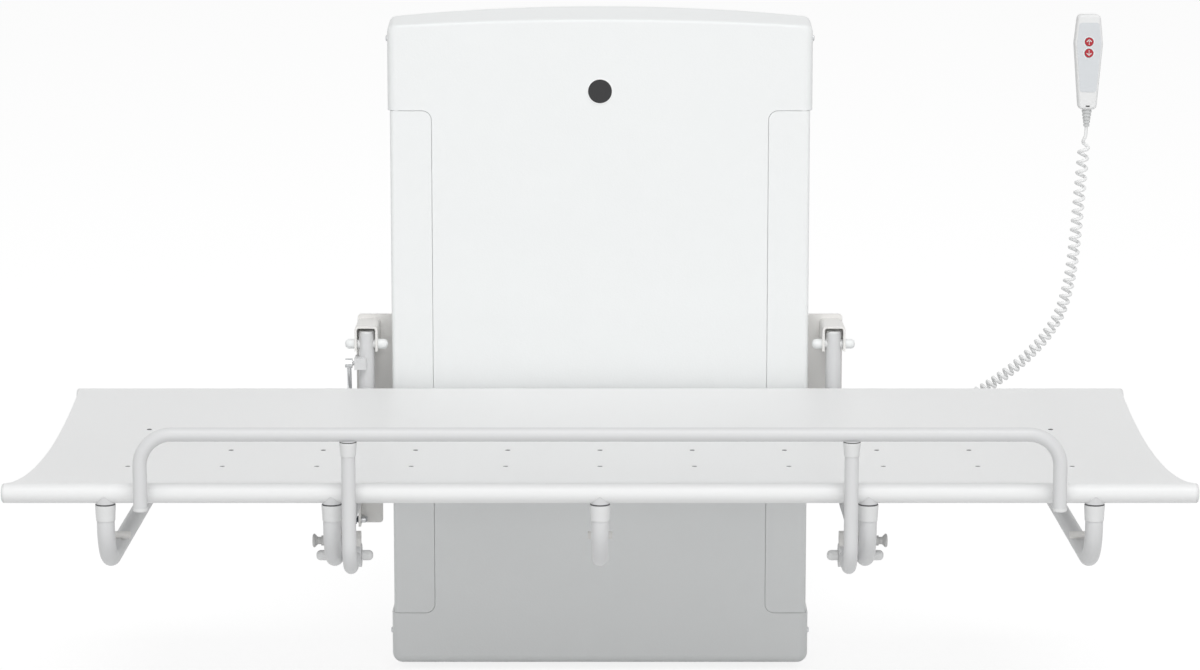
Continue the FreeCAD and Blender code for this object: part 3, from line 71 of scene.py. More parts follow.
class Tone:
    """A value on a surface; calculating with it adds Math nodes."""

    def __init__(self, graph, socket):
        self.graph, self.socket = graph, socket

    def join(self, operation, first, second):
        return self.graph.add("ShaderNodeMath", {"operation": operation}, {0: first, 1: second})

    def __add__(self, other):
        return self.join("ADD", self, other)

    def __sub__(self, other):
        return self.join("SUBTRACT", self, other)

    def __rsub__(self, other):
        return self.join("SUBTRACT", other, self)

    def __mul__(self, other):
        return self.join("MULTIPLY", self, other)

    def __truediv__(self, other):
        return self.join("DIVIDE", self, other)

    def __pow__(self, other):
        return self.join("POWER", self, other)

    def at_most(self, other):
        return self.join("MINIMUM", self, other)

    def at_least(self, other):
        return self.join("MAXIMUM", self, other)

    def size(self):
        return (self ** 2) ** 0.5

    def to_nearest(self, pitch):
        """Distance from the nearest multiple of a pitch."""
        return self.join("PINGPONG", self, pitch / 2)

    __radd__, __rmul__ = __add__, __mul__


class Graph:
    """A node tree that is written as expressions."""

    def __init__(self, tree):
        self.tree = tree

    def add(self, kind, settings=None, inputs=None, output=0):
        """Any node: its settings are set first, then the values or links of its sockets."""
        node = self.tree.nodes.new(kind)
        for name, value in (settings or {}).items():
            setattr(node, name, value)
        for name, value in (inputs or {}).items():
            self.feed(node.inputs[name], value)
        return Tone(self, node.outputs[output])

    def feed(self, socket, value):
        if isinstance(value, Tone):
            self.tree.links.new(value.socket, socket)
        elif hasattr(value, "__len__") and len(value) == 3 and len(socket.default_value) == 4:
            socket.default_value = (*value, 1.0)
        else:
            socket.default_value = value


class Finish(Graph):
    """A surface finish: one Principled shader and what varies over the surface."""

    def __init__(self, name, **constants):
        self.material = bpy.data.materials.new(name)
        self.material.use_nodes = True
        super().__init__(self.material.node_tree)
        self.shader = self.tree.nodes["Principled BSDF"]
        for words, value in constants.items():
            self.feed(self.shader.inputs[words.replace("_", " ")], value)
        self.place = self.add("ShaderNodeTexCoord", output="Object")

    def noise(self, per_metre, detail=2.0, stretch=None):
        """Cloudy noise from 0 to 1; stretch squeezes it along the three axes."""
        place = self.place
        if stretch:
            place = self.add("ShaderNodeMapping", None, {"Vector": place, "Scale": stretch})
        return self.add("ShaderNodeTexNoise", None, {"Vector": place, "Scale": per_metre, "Detail": detail})

    def mix(self, share, first, second):
        """A colour between two others."""
        return self.add("ShaderNodeMix", {"data_type": "RGBA"}, {0: share, 6: first, 7: second}, 2)

    def soft_edges(self, radius):
        return self.add("ShaderNodeBevel", {"samples": 4}, {"Radius": radius})

    def bump(self, height, depth, normal=None):
        inputs = {"Height": height, "Distance": depth, "Strength": 1.0}
        if normal:
            inputs["Normal"] = normal
        return self.add("ShaderNodeBump", None, inputs)

    def ring(self, centre):
        """Distance from an axis along Y through a point, in metres."""
        flat = self.add("ShaderNodeVectorMath", {"operation": "MULTIPLY"}, {0: self.place, 1: (1, 0, 1)})
        return self.add("ShaderNodeVectorMath", {"operation": "DISTANCE"},
                        {0: flat, 1: (centre[0], 0, centre[2])}, "Value")

    def along(self, axis):
        """Place along one axis of the piece, in metres."""
        return self.add("ShaderNodeSeparateXYZ", None, {0: self.place}, axis)

    def step(self, distance, edge, softness):
        """1 inside an edge, 0 outside it, with a soft border."""
        return ((edge - distance) / softness + 0.5).at_least(0.0).at_most(1.0)

    def surface(self, colour, roughness, normal):
        for name, value in (("Base Color", colour), ("Roughness", roughness), ("Normal", normal)):
            self.feed(self.shader.inputs[name], value)
        return self


def shaded(colour, share):
    return tuple(channel * share for channel in colour)


def coated(name, colour, roughness, grain, depth, mottle=0.04, edge=0.0006, **constants):
    """Paint or moulding: faint clouds in the colour, fine grain, softened edges."""
    finish = Finish(name, **constants)
    clouds, grains = finish.noise(7.0, 3.0), finish.noise(grain, 2.0)
    share = clouds * 0.7 + grains * 0.3
    return finish.surface(finish.mix(share, shaded(colour, 1 - mottle), shaded(colour, 1 + mottle / 2)),
                          roughness - 0.06 + grains * 0.08 + clouds * 0.04,
                          finish.bump(grains, depth, finish.soft_edges(edge)))


def brushed(name, colour, roughness, stretch, edge=0.0005):
    """Drawn or brushed metal: fine lines along one axis."""
    finish = Finish(name, Metallic=1.0)
    lines, clouds = finish.noise(900.0, 2.0, stretch), finish.noise(9.0, 3.0)
    return finish.surface(finish.mix(lines * 0.6 + clouds * 0.4, shaded(colour, 0.9), shaded(colour, 1.06)),
                          roughness - 0.08 + lines * 0.12 + clouds * 0.05,
                          finish.bump(lines, 0.00004, finish.soft_edges(edge)))


# Finishes of this table

WHITE = (0.870, 0.885, 0.885)
SHEET = (0.845, 0.85, 0.85)
WARM_GREY = (0.84, 0.83, 0.81)

cover_white = coated("cover_white", WHITE, 0.44, 380.0, 0.00016, 0.02, 0.0008)
tube_white = coated("tube_white", (0.70, 0.705, 0.71), 0.38, 480.0, 0.00013, 0.03)
moulded_white = coated("moulded_white", (0.76, 0.765, 0.765), 0.38, 900.0, 0.00002, 0.02)
cap_white = coated("cap_white", WHITE, 0.36, 900.0, 0.00002, 0.02)
bracket_grey = coated("bracket_grey", WARM_GREY, 0.44, 520.0, 0.00014, 0.05)
shoe_grey = coated("shoe_grey", (0.56, 0.57, 0.575), 0.4, 900.0, 0.00002, 0.03)
knob_grey = coated("knob_grey", (0.60, 0.60, 0.595), 0.42, 900.0, 0.00002, 0.05)
rubber_black = coated("rubber_black", (0.028, 0.028, 0.03), 0.7, 1500.0, 0.00006, 0.2)
gasket_dark = coated("gasket_dark", (0.10, 0.10, 0.105), 0.65, 1500.0, 0.00005, 0.2)
cord_white = coated("cord_white", (0.87, 0.875, 0.875), 0.42, 1200.0, 0.00001, 0.02)
relief_grey = coated("relief_grey", (0.66, 0.67, 0.67), 0.5, 1400.0, 0.00003, 0.04)
control_grey = coated("control_grey", (0.12, 0.12, 0.125), 0.5, 1300.0, 0.00005, 0.1)
motor_black = coated("motor_black", (0.035, 0.035, 0.038), 0.45, 600.0, 0.00005, 0.15)
strut_blue = coated("strut_blue", (0.26, 0.29, 0.33), 0.3, 700.0, 0.00002, 0.06)
key_red = coated("key_red", (0.43, 0.007, 0.020), 0.45, 1600.0, 0.00002, 0.06)
cast_alloy = coated("cast_alloy", (0.52, 0.53, 0.54), 0.48, 650.0, 0.00008, 0.08, Metallic=0.85)
zinc = coated("zinc", (0.60, 0.61, 0.62), 0.34, 160.0, 0.00002, 0.12, Metallic=1.0)
drawn_alloy = brushed("drawn_alloy", (0.66, 0.67, 0.68), 0.36, (1.0, 1.0, 0.02))
turned_steel = brushed("turned_steel", (0.56, 0.57, 0.58), 0.28, (0.05, 1.0, 1.0))
chromed_rod = brushed("chromed_rod", (0.72, 0.73, 0.74), 0.14, (1.0, 1.0, 0.05))
bronze = brushed("bronze", (0.48, 0.33, 0.16), 0.4, (1.0, 1.0, 0.1))


DRAIN_PITCH, DRAIN_ROW, DRAIN_MIDDLE = 0.150, 0.135, -0.501
DRAIN_RADIUS, DRAIN_RIM = 0.004, 0.0003
DRAIN_FIELD = (DRAIN_PITCH * 5.2, DRAIN_ROW * 1.2)
# Painted shade: the grey that stands for the shade inside the drain holes.
DRAIN_SHADE_GREY = (0.23, 0.23, 0.233)


def sheet_finish():
    """The lying surface: a close leather grain, with painted shade that makes the drain holes darker inside.
    """
    finish = Finish("sheet_white")
    across, along = finish.along("X"), finish.along("Y") - DRAIN_MIDDLE
    # Painted shade: grey over each drain hole and a thin ring around it, in place of the shade inside the
    # hole.
    offset = (across.to_nearest(DRAIN_PITCH) ** 2 + along.to_nearest(DRAIN_ROW) ** 2) ** 0.5
    drain_shade = finish.step(offset, DRAIN_RADIUS + DRAIN_RIM, DRAIN_RIM)
    for place, limit in zip((across, along), DRAIN_FIELD):
        drain_shade = drain_shade * finish.step(place.size(), limit, 0.001)
    cells = finish.add("ShaderNodeTexVoronoi", {"feature": "DISTANCE_TO_EDGE"},
                       {"Vector": finish.place, "Scale": 420.0})
    clouds, grains = finish.noise(4.0, 4.0), finish.noise(900.0, 2.0)
    grain = (cells * 4.0).at_most(1.0) * 0.6 + grains * 0.4
    white = finish.mix(clouds * 0.75 + grain * 0.25, shaded(SHEET, 0.975), shaded(SHEET, 1.015))
    return finish.surface(finish.mix(drain_shade, white, DRAIN_SHADE_GREY),
                          0.32 + clouds * 0.1 + grains * 0.08,
                          finish.bump(grain, 0.00012, finish.soft_edges(0.0006)))


BADGE_RIM, KEY_HALO = 0.0011, 0.0098
SLOT_HALF_WIDTH, SLOT_HALF_HEIGHT, SLOT_RISE, SLOT_BACK = 0.0034, 0.0012, 0.0062, -0.030


def badge_finish():
    """Charcoal disc with a thin white rim."""
    low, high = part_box("cover_badge")
    finish = Finish("badge_charcoal", Specular_IOR_Level=0.25)
    distance = finish.ring((low + high) / 2)
    grains = finish.noise(1500.0)
    inside = finish.step(distance, (high.x - low.x) / 2 - BADGE_RIM, 0.0003)
    dark = finish.mix(grains, (0.026, 0.026, 0.027), (0.038, 0.038, 0.040))
    return finish.surface(finish.mix(inside, (0.92, 0.92, 0.92), dark), 0.34 + grains * 0.12,
                          finish.bump(grains, 0.00002))


def foil_finish():
    """Printed keypad foil: pale halo around each key."""
    finish = Finish("foil_blue_grey")
    halo = 0.0
    for node in ("up_button", "down_button"):
        low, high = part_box(node)
        halo = finish.step(finish.ring((low + high) / 2), KEY_HALO, 0.0006).at_least(halo)
    grains, clouds = finish.noise(1800.0), finish.noise(30.0)
    field = finish.mix(clouds, (0.655, 0.678, 0.700), (0.685, 0.708, 0.730))
    return finish.surface(finish.mix(halo, field, (0.78, 0.885, 0.90)), 0.38 + grains * 0.1,
                          finish.bump(grains, 0.00003))


def shadow_rimmed(name, node, shadow_height):
    """Pale grey seats of the tubes, with painted shadow: a dark lower rim in place of the shade in the gap
    beneath.
    """
    finish = Finish(name)
    grains = finish.noise(900.0)
    grey = finish.mix(grains, (0.64, 0.645, 0.65), (0.68, 0.685, 0.69))
    # Painted shadow: the lowest strip of each seat is near black.
    rim = finish.step(finish.along("Z"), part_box(node)[0].z + shadow_height, 0.0003)
    return finish.surface(finish.mix(rim, grey, (0.05, 0.05, 0.052)), 0.4 + grains * 0.1,
                          finish.bump(grains, 0.00002, finish.soft_edges(0.0004)))


def shell_finish():
    """White handset shell; painted shade makes the narrow slot near its foot dark inside."""
    low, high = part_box("handset_shell")
    finish = Finish("shell_white_slot_shade")
    across = (finish.along("X") - (low.x + high.x) / 2).size()
    up = (finish.along("Z") - low.z - SLOT_RISE).size()
    # Painted shade: near black over the slot, standing in for the shade inside it.
    slot = finish.step(across, SLOT_HALF_WIDTH, 0.0002) * finish.step(up, SLOT_HALF_HEIGHT, 0.0002)
    slot = slot * finish.step(finish.along("Y"), SLOT_BACK, 0.0002)
    grains, clouds = finish.noise(1400.0), finish.noise(12.0)
    white = finish.mix(grains * 0.4 + clouds * 0.6, (0.785, 0.79, 0.79), (0.815, 0.82, 0.82))
    return finish.surface(finish.mix(slot, white, (0.02, 0.02, 0.021)), 0.38 + grains * 0.1,
                          finish.bump(grains, 0.00003, finish.soft_edges(0.0005)))


sheet_white = sheet_finish()
saddle_grey_rim_shadow = shadow_rimmed("saddle_grey_rim_shadow", "frame_saddles", 0.0006)
seat_grey_rim_shadow = shadow_rimmed("seat_grey_rim_shadow", "post_gaskets", 0.0014)
shell_white_slot_shade = shell_finish()
badge_charcoal = badge_finish()
foil_blue_grey = foil_finish()

FINISH_OF = {
    cover_white: ["left_side_panel", "right_side_panel"],
    sheet_white: ["lying_surface"],
    tube_white: ["left_cross_tube", "centre_cross_tube", "right_cross_tube", "left_arm", "right_arm",
                 "rail_tube", "left_post", "right_post", "gas_spring_lug"],
    cap_white: ["pivot_bolts"],
    moulded_white: ["roll_caps", "hinge_bolts", "arm_plugs", "frame_collars", "post_collars",
                    "rail_plugs", "pivot_bushes"],
    bracket_grey: ["left_bracket", "right_bracket", "lock_cams", "cross_pegs"],
    saddle_grey_rim_shadow: ["frame_saddles"],
    seat_grey_rim_shadow: ["post_gaskets"],
    shoe_grey: ["guide_shoes", "cord_gland"],
    knob_grey: ["left_latch_knob", "right_latch_knob", "latch_housings"],
    rubber_black: ["feet"],
    gasket_dark: ["frame_gaskets"],
    shell_white_slot_shade: ["handset_shell"],
    relief_grey: ["strain_relief"],
    control_grey: ["control_box"],
    motor_black: ["lift_motor"],
    strut_blue: ["gas_spring_cylinder"],
    key_red: ["up_button", "down_button"],
    cast_alloy: ["gearbox", "spindle_bearing"],
    zinc: ["top_crossmember", "bottom_crossmember", "carriage_beam", "handset_hook", "cover_screws",
           "gas_spring_stud", "hinge_spacers"],
    drawn_alloy: ["left_column", "right_column"],
    turned_steel: ["front_roll_tube", "rear_roll_tube"],
    chromed_rod: ["gas_spring_rod"],
    bronze: ["spindle_nut"],
    badge_charcoal: ["cover_badge"],
    foil_blue_grey: ["keypad_foil"],
}
for finish, names in FINISH_OF.items():
    for name in names:
        mesh = nodes[name].data
        mesh.materials.clear()
        mesh.materials.append(finish.material)


# Modelling helpers

SHARP_ANGLE = math.radians(35)


def clear_selection():
    bpy.ops.object.select_all(action="DESELECT")


def shape_with(piece, kind, **settings):
    """Apply one modifier to a piece."""
    modifier = piece.modifiers.new(kind.title(), kind)
    for name, value in settings.items():
        setattr(modifier, name, value)
    bpy.context.view_layer.objects.active = piece
    bpy.ops.object.modifier_apply(modifier=modifier.name)


def complete(piece, name, finish, body):
    """Name a piece, set its place in its mesh, give it its finish and let it ride on its body."""
    clear_selection()
    piece.select_set(True)
    bpy.context.view_layer.objects.active = piece
    bpy.ops.object.transform_apply(location=True, rotation=True, scale=True)
    piece.name = piece.data.name = name
    piece.data.materials.clear()
    piece.data.materials.append(finish.material)
    bpy.ops.object.shade_smooth_by_angle(angle=SHARP_ANGLE)
    if body:
        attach(piece, body)


# Cover

COVER_EDGE, COVER_WALL, TOP_EDGE = 0.014, 0.003, 0.0035
FOOT_CORNER, TOP_CORNER = 0.018, 0.015
CROWN, CROWN_FALL, SHOULDER_FALL = 0.018, 0.0075, 0.010
PANEL_CORNER, PANEL_GAP, LIP_ACROSS, LIP_UP = 0.016, 0.0008, 0.015, 0.012
SCREW_RADIUS, SCREW_HOLE = 0.0055, 0.0026
CORNER_STEPS, CROWN_STEPS, EDGE_STEP = 12, 14, 15
CORNER_SHRINK, SIDE_MARGIN, FRONT_RIM = 0.7, 1.05, 0.001
CUT_ACROSS, CUT_DEPTH, CUT_THROUGH = 0.15, 0.3, 1.0


def arc(centre, radius, start, end, steps):
    """Points along an arc in the front view, as (x, z)."""
    turns = [start + (end - start) * step / steps for step in range(steps + 1)]
    return [(centre[0] + radius * math.cos(turn), centre[1] + radius * math.sin(turn)) for turn in turns]


def cover_outline(half, foot, shoulder, crown, corner):
    """Front view of the cover: rounded corners under a crowned top."""
    bow = (half ** 2 + crown ** 2) / (2 * crown)
    middle, across, quarter = shoulder + crown - bow, half - TOP_CORNER, math.pi / 2
    lift = middle + math.sqrt((bow - TOP_CORNER) ** 2 - across ** 2)
    lean = math.atan2(lift - middle, across)
    right = arc((half - corner, foot + corner), corner, -quarter, 0, CORNER_STEPS)
    right += arc((across, lift), TOP_CORNER, 0, lean, CORNER_STEPS)
    right += arc((0, middle), bow, lean, quarter, CROWN_STEPS)[1:]
    return right + [(-aside, up) for aside, up in reversed(right[:-1])]


def cover_sections():
    """Outlines from the wall to the front: the top falls forwards to a crisp edge, the sides round off."""
    low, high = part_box("front_cover")
    places = [(high.y, 0.0), (low.y + COVER_EDGE * SIDE_MARGIN, 0.0)]
    for turn in range(0, 91, EDGE_STEP):
        sine, cosine = math.sin(math.radians(turn)), math.cos(math.radians(turn))
        places.append((low.y + COVER_EDGE * (1 - sine), COVER_EDGE * (1 - cosine)))
    for along, inset in places:
        share = (high.y - along) / (high.y - low.y)
        near = max(0.0, 1 - (along - low.y) / TOP_EDGE)
        fall = SHOULDER_FALL * share + TOP_EDGE * (1 - math.sqrt(1 - near ** 2))
        yield along, cover_outline(high.x - inset, low.z + inset, high.z - CROWN - fall,
                                   CROWN - CROWN_FALL * share, FOOT_CORNER - CORNER_SHRINK * inset)


def window_cutter(side):
    """The room of one side panel with its gap, rounded at the two inner corners."""
    low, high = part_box(side + "_side_panel")
    way = 1 if side == "right" else -1
    inner = min(abs(low.x), abs(high.x)) + LIP_ACROSS - PANEL_GAP
    bottom, top = low.z + LIP_UP - PANEL_GAP, high.z - LIP_UP + PANEL_GAP
    outer = inner + CUT_ACROSS
    bpy.ops.mesh.primitive_cube_add(size=1, location=(way * (inner + outer) / 2, low.y, (bottom + top) / 2))
    cutter = bpy.context.object
    cutter.scale = (outer - inner, CUT_DEPTH, top - bottom)
    bpy.ops.object.transform_apply(location=True, rotation=True, scale=True)
    bpy.ops.object.mode_set(mode="EDIT")
    bpy.ops.mesh.select_mode(type="EDGE")
    bpy.ops.mesh.select_all(action="DESELECT")
    bpy.ops.object.mode_set(mode="OBJECT")
    spots = cutter.data.vertices
    for edge in cutter.data.edges:
        first, second = (spots[index].co for index in edge.vertices)
        edge.select = abs(first.y - second.y) > CUT_DEPTH / 2 and abs(abs(first.x) - inner) < 0.001
    bpy.ops.object.mode_set(mode="EDIT")
    bpy.ops.mesh.bevel(offset=PANEL_CORNER + PANEL_GAP, segments=8, affect="EDGES")
    bpy.ops.mesh.select_mode(type="VERT")
    bpy.ops.object.mode_set(mode="OBJECT")
    return cutter


def hole_cutter(along, height):
    """The holes of two cover screws, from side to side."""
    bpy.ops.mesh.primitive_cylinder_add(vertices=24, radius=SCREW_HOLE, depth=CUT_THROUGH,
                                        location=(0, along, height), rotation=(0, math.pi / 2, 0))
    cutter = bpy.context.object
    bpy.ops.object.transform_apply(location=True, rotation=True, scale=True)
    return cutter


def cover_shell():
    """The cover drawn forwards section by section, hollowed, and cut out for the panels and screws."""
    sections = list(cover_sections())
    clear_selection()
    bpy.ops.mesh.primitive_circle_add(vertices=len(sections[0][1]), location=(0, 0, 0))
    cover = bpy.context.object
    for number, (along, points) in enumerate(sections):
        if number:
            bpy.ops.object.mode_set(mode="EDIT")
            bpy.ops.mesh.extrude_region_move(TRANSFORM_OT_translate={"value": (0, -0.01, 0)})
            bpy.ops.object.mode_set(mode="OBJECT")
        drawn = [vertex for vertex in cover.data.vertices if vertex.select]
        for vertex, (across, up) in zip(drawn, points):
            vertex.co = (across, along, up)
    bpy.ops.object.mode_set(mode="EDIT")
    bpy.ops.mesh.edge_face_add()
    bpy.ops.mesh.inset(thickness=FRONT_RIM)
    bpy.ops.mesh.select_all(action="SELECT")
    bpy.ops.mesh.normals_make_consistent(inside=False)
    bpy.ops.object.mode_set(mode="OBJECT")
    shape_with(cover, "SOLIDIFY", thickness=COVER_WALL, offset=-1, use_even_offset=True)
    low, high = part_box("cover_screws")
    clear_selection()
    cutters = [window_cutter("left"), window_cutter("right")]
    for height in (low.z + SCREW_RADIUS, high.z - SCREW_RADIUS):
        cutters.append(hole_cutter((low.y + high.y) / 2, height))
    for cutter in cutters:
        shape_with(cover, "BOOLEAN", operation="DIFFERENCE", object=cutter, solver="EXACT")
        bpy.data.objects.remove(cutter)
    complete(cover, "cover_shell", cover_white, "unit")
    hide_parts("front_cover")


cover_shell()


# Arrows on the keys

PROUD, SUNK, STROKE, ARROW_BEVEL = 0.0004, 0.0001, 0.0017, 0.0001
HEAD_LENGTH, HEAD_OFFSET, HEAD_RISE, HEAD_SLANT = 0.0062, 0.0019, 0.0021, math.radians(42)
DASHES = ((0.0003, 0.0022), (-0.0022, 0.0014), (-0.0042, 0.0012))


def bar(centre, width, height, turn):
    """One stroke of an arrow."""
    bpy.ops.mesh.primitive_cube_add(size=1, location=centre, rotation=(0, turn, 0))
    piece = bpy.context.object
    piece.scale = (width, PROUD, height)
    return piece


def key_arrow(node, body, way):
    """A chevron over a dashed stem, raised a little from the key."""
    low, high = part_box(node)
    middle = (low + high) / 2
    front = low.y - PROUD / 2 + SUNK
    clear_selection()
    bars = []
    for side in (-1, 1):
        spot = (middle.x + side * HEAD_OFFSET, front, middle.z + way * HEAD_RISE)
        bars.append(bar(spot, HEAD_LENGTH, STROKE, way * side * HEAD_SLANT))
    for rise, length in DASHES:
        bars.append(bar((middle.x, front, middle.z + way * rise), STROKE, length, 0))
    clear_selection()
    for piece in bars:
        piece.select_set(True)
    bpy.context.view_layer.objects.active = bars[0]
    bpy.ops.object.join()
    arrow = bpy.context.object
    clear_selection()
    arrow.select_set(True)
    bpy.ops.object.transform_apply(location=True, rotation=True, scale=True)
    shape_with(arrow, "BEVEL", width=ARROW_BEVEL, segments=2)
    complete(arrow, node.replace("button", "arrow"), moulded_white, body)


key_arrow("up_button", "up_key", 1)
key_arrow("down_button", "down_key", -1)


# Thread of the lifting spindle

LEAD, THREAD_DEPTH, THREAD_STEPS = 0.010, 0.0017, 20
TOOTH = [(0, 0.26), (THREAD_DEPTH, 0.14), (0, 0.36), (-THREAD_DEPTH, 0.14), (0, 0.10)]


def spindle_thread():
    """A trapezoidal thread turned from one tooth, cut square at both ends."""
    low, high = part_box("lift_spindle")
    middle = (low + high) / 2
    root = (high.x - low.x) / 2 - THREAD_DEPTH
    clear_selection()
    bpy.ops.mesh.primitive_plane_add(size=LEAD, location=(middle.x, middle.y, low.z - LEAD))
    spindle = bpy.context.object
    bpy.ops.object.mode_set(mode="EDIT")
    bpy.ops.mesh.merge(type="CENTER")
    bpy.ops.transform.translate(value=(root, 0, 0))
    for across, share in TOOTH:
        bpy.ops.mesh.extrude_vertices_move(TRANSFORM_OT_translate={"value": (across, 0, share * LEAD)})
    bpy.ops.object.mode_set(mode="OBJECT")
    turns = math.ceil((high.z - low.z) / LEAD) + 2
    shape_with(spindle, "SCREW", axis="Z", angle=math.tau, screw_offset=LEAD, iterations=turns,
               steps=THREAD_STEPS, render_steps=THREAD_STEPS, use_merge_vertices=True)
    bpy.ops.object.mode_set(mode="EDIT")
    bpy.ops.mesh.select_all(action="SELECT")
    bpy.ops.mesh.remove_doubles(threshold=0.00001)
    for height, outer_side in ((low.z, False), (high.z, True)):
        bpy.ops.mesh.select_all(action="SELECT")
        bpy.ops.mesh.bisect(plane_co=(middle.x, middle.y, height), plane_no=(0, 0, 1), use_fill=True,
                            clear_inner=not outer_side, clear_outer=outer_side)
    bpy.ops.mesh.select_all(action="SELECT")
    bpy.ops.mesh.normals_make_consistent(inside=False)
    bpy.ops.object.mode_set(mode="OBJECT")
    complete(spindle, "threaded_spindle", turned_steel, "spindle")
    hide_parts("lift_spindle")


spindle_thread()


# Curly cord

CORD_DIAMETER, CURL_RADIUS, CURL_TURNS, PITCH_FALL, FADE = 0.006, 0.008, 36, 0.65, 1.8
CURL_START, STEPS_PER_TURN, TAIL_STEPS = 0.014, 14, 40
RELIEF_FOOT, LEAD_OUT = (0.845, -0.032, 0.366), (0.845, -0.032, 0.354)
CURLED = [(0.8411, -0.0320, 0.3281), (0.8322, -0.0301, 0.1961), (0.8248, -0.0283, 0.1083),
          (0.8091, -0.0264, 0.0382), (0.7830, -0.0245, -0.0060), (0.7481, -0.0226, -0.0450),
          (0.7122, -0.0208, -0.0748), (0.6772, -0.0189, -0.1001), (0.6448, -0.0170, -0.1190)]
TAIL = [(0.5960, -0.0170, -0.1431), (0.5459, -0.0170, -0.1661), (0.4952, -0.0170, -0.1862),
        (0.4440, -0.0170, -0.2011), (0.3978, -0.0170, -0.2069), (0.3530, -0.0170, -0.2080)]


def smooth_line(name, points, resolution):
    """A smooth line that follows a route, as an object of its own."""
    curve = bpy.data.curves.new(name, "CURVE")
    curve.dimensions = "3D"
    curve.resolution_u = resolution
    spline = curve.splines.new("NURBS")
    spline.points.add(len(points) - 1)
    for spot, point in zip(spline.points, points):
        spot.co = (*point, 1.0)
    spline.order_u = 3
    spline.use_endpoint_u = True
    holder = bpy.data.objects.new(name, curve)
    bpy.context.scene.collection.objects.link(holder)
    return holder


def walked(line):
    """Points of a line in order, with the way gone so far."""
    mesh = bpy.data.meshes.new_from_object(line)
    spots = [vertex.co.copy() for vertex in mesh.vertices]
    bpy.data.meshes.remove(mesh)
    gone = [0.0]
    for before, after in zip(spots, spots[1:]):
        gone.append(gone[-1] + (after - before).length)
    return spots, gone


def spot_at(spots, gone, way):
    """Place and direction of a line after a way along it."""
    for index in range(1, len(gone)):
        if way <= gone[index] or index == len(gone) - 1:
            share = (way - gone[index - 1]) / max(gone[index] - gone[index - 1], 1e-9)
            return spots[index - 1].lerp(spots[index], share), (spots[index] - spots[index - 1]).normalized()


def eased(share):
    """A share from 0 to 1 that starts and ends gently."""
    share = min(1.0, max(0.0, share))
    return share * share * (3 - 2 * share)


def curly_cord():
    """Straight out of the relief, then curls that close up as they hang, then a plain tail."""
    route = smooth_line("cord_route", [RELIEF_FOOT, LEAD_OUT, *CURLED, *TAIL], 40)
    spots, gone = walked(route)
    bpy.data.objects.remove(route)
    last_curl = Vector(CURLED[-1])
    nearest = min(range(len(spots)), key=lambda index: (spots[index] - last_curl).length)
    curl_end = gone[nearest]
    steps = CURL_TURNS * STEPS_PER_TURN
    shares = [count / steps for count in range(steps + 1)]
    fades = [eased(share * CURL_TURNS / FADE) * eased((1 - share) * CURL_TURNS / FADE) for share in shares]
    rates = [(1 + PITCH_FALL * share) * fade for share, fade in zip(shares, fades)]
    path = [spots[0], spot_at(spots, gone, CURL_START * 0.5)[0]]
    turned = 0.0
    for share, fade, rate in zip(shares, fades, rates):
        middle, way = spot_at(spots, gone, CURL_START + (curl_end - CURL_START) * share)
        across = Vector((0, 1, 0)).cross(way).normalized()
        inward = way.cross(across)
        turned += math.tau * CURL_TURNS * rate / sum(rates)
        path.append(middle + (across * math.cos(turned) + inward * math.sin(turned)) * CURL_RADIUS * fade)
    for count in range(1, TAIL_STEPS + 1):
        path.append(spot_at(spots, gone, curl_end + (gone[-1] - curl_end) * count / TAIL_STEPS)[0])
    line = smooth_line("curly_cord_line", path, 2)
    line.data.bevel_depth = CORD_DIAMETER / 2
    line.data.bevel_resolution = 3
    line.data.use_fill_caps = True
    centre = bpy.data.objects.new("curly_cord_centre", line.data.copy())
    centre.data.bevel_depth = 0.0
    bpy.context.scene.collection.objects.link(centre)
    followed, lengths = walked(centre)
    bpy.data.objects.remove(centre)
    clear_selection()
    line.select_set(True)
    bpy.context.view_layer.objects.active = line
    bpy.ops.object.convert(target="MESH")
    cord = bpy.context.object
    complete(cord, "curly_cord_soft", cord_white, None)
    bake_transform(cord)
    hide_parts("curly_cord")
    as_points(followed)


curly_cord()


# Floor, light and camera

FLOOR_LEVEL, FLOOR_SIZE, FLOOR_GREY = cad_box[0].z, 80.0, (0.8, 0.8, 0.8)
GLOW, GLOW_SHARE, AMBIENT = 1.26, 0.65, 0.5
CAMERA_PLACE, CAMERA_PITCH = (0.0, -6.0865, 1.0437), math.radians(90 - 9.014)
LENS, SENSOR, SHIFT = 105.08, 36.0, -0.04


def seen(graph):
    """1 for what the camera sees directly, mirrored or through glass."""
    paths = graph.add("ShaderNodeLightPath")
    outputs = paths.socket.node.outputs
    return sum((Tone(graph, outputs[name]) for name in ("Is Glossy Ray", "Is Transmission Ray")),
               Tone(graph, outputs["Is Camera Ray"])).at_most(1.0)


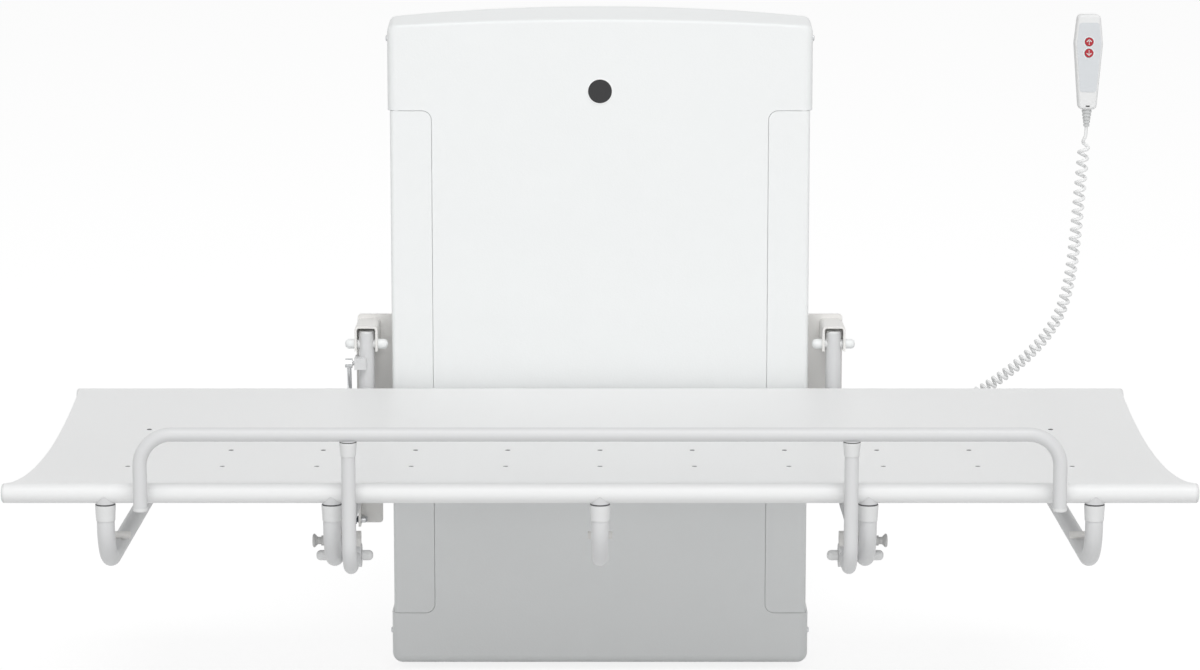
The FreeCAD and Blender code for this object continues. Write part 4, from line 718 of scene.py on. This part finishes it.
def floor():
    """A matt floor that keeps the shadow; to the camera part of it glows white."""
    clear_selection()
    bpy.ops.mesh.primitive_plane_add(size=FLOOR_SIZE, location=(0, 0, FLOOR_LEVEL))
    piece = bpy.context.object
    piece.name = "floor"
    material = bpy.data.materials.new("floor_white")
    material.use_nodes = True
    graph = Graph(material.node_tree)
    graph.tree.nodes.remove(graph.tree.nodes["Principled BSDF"])
    matt = graph.add("ShaderNodeBsdfDiffuse", None, {"Color": FLOOR_GREY})
    glow = graph.add("ShaderNodeEmission", None, {"Color": (1.0, 1.0, 1.0), "Strength": GLOW})
    blend = graph.add("ShaderNodeMixShader", None, {0: seen(graph) * GLOW_SHARE, 1: matt, 2: glow})
    graph.tree.links.new(blend.socket, graph.tree.nodes["Material Output"].inputs["Surface"])
    piece.data.materials.append(material)


def sky():
    """White behind the object, half as bright where it lights it."""
    world = bpy.data.worlds.new("studio")
    bpy.context.scene.world = world
    world.use_nodes = True
    graph = Graph(world.node_tree)
    backdrop = graph.tree.nodes["Background"]
    backdrop.inputs["Color"].default_value = (1.0, 1.0, 1.0, 1.0)
    graph.feed(backdrop.inputs["Strength"], AMBIENT + seen(graph) * (1 - AMBIENT))


def lamp(name, place, aim, power, width, height):
    """A large soft lamp that the camera doesn't see."""
    light = bpy.data.lights.new(name, "AREA")
    light.shape = "RECTANGLE"
    light.size, light.size_y, light.energy = width, height, power
    holder = bpy.data.objects.new(name, light)
    bpy.context.scene.collection.objects.link(holder)
    holder.location = place
    holder.rotation_euler = (Vector(aim) - Vector(place)).to_track_quat("-Z", "Y").to_euler()
    holder.visible_camera = False


def camera():
    """Pitched down a little, with the small shift that the tall framing needs."""
    view = bpy.data.cameras.new("camera")
    view.lens, view.sensor_width, view.shift_y = LENS, SENSOR, SHIFT
    holder = bpy.data.objects.new("camera", view)
    bpy.context.scene.collection.objects.link(holder)
    holder.location, holder.rotation_euler = CAMERA_PLACE, (CAMERA_PITCH, 0, 0)
    bpy.context.scene.camera = holder


floor()
sky()
lamp("key", (0.9, -7.4, 9.2), (0, -0.4, -0.1), 605.0, 8.8, 5.8)
lamp("fill", (0.0, -12.4, 0.9), (0, -0.3, 0.0), 260.0, 10.5, 4.2)
camera()
bpy.context.scene.view_settings.view_transform = "Standard"
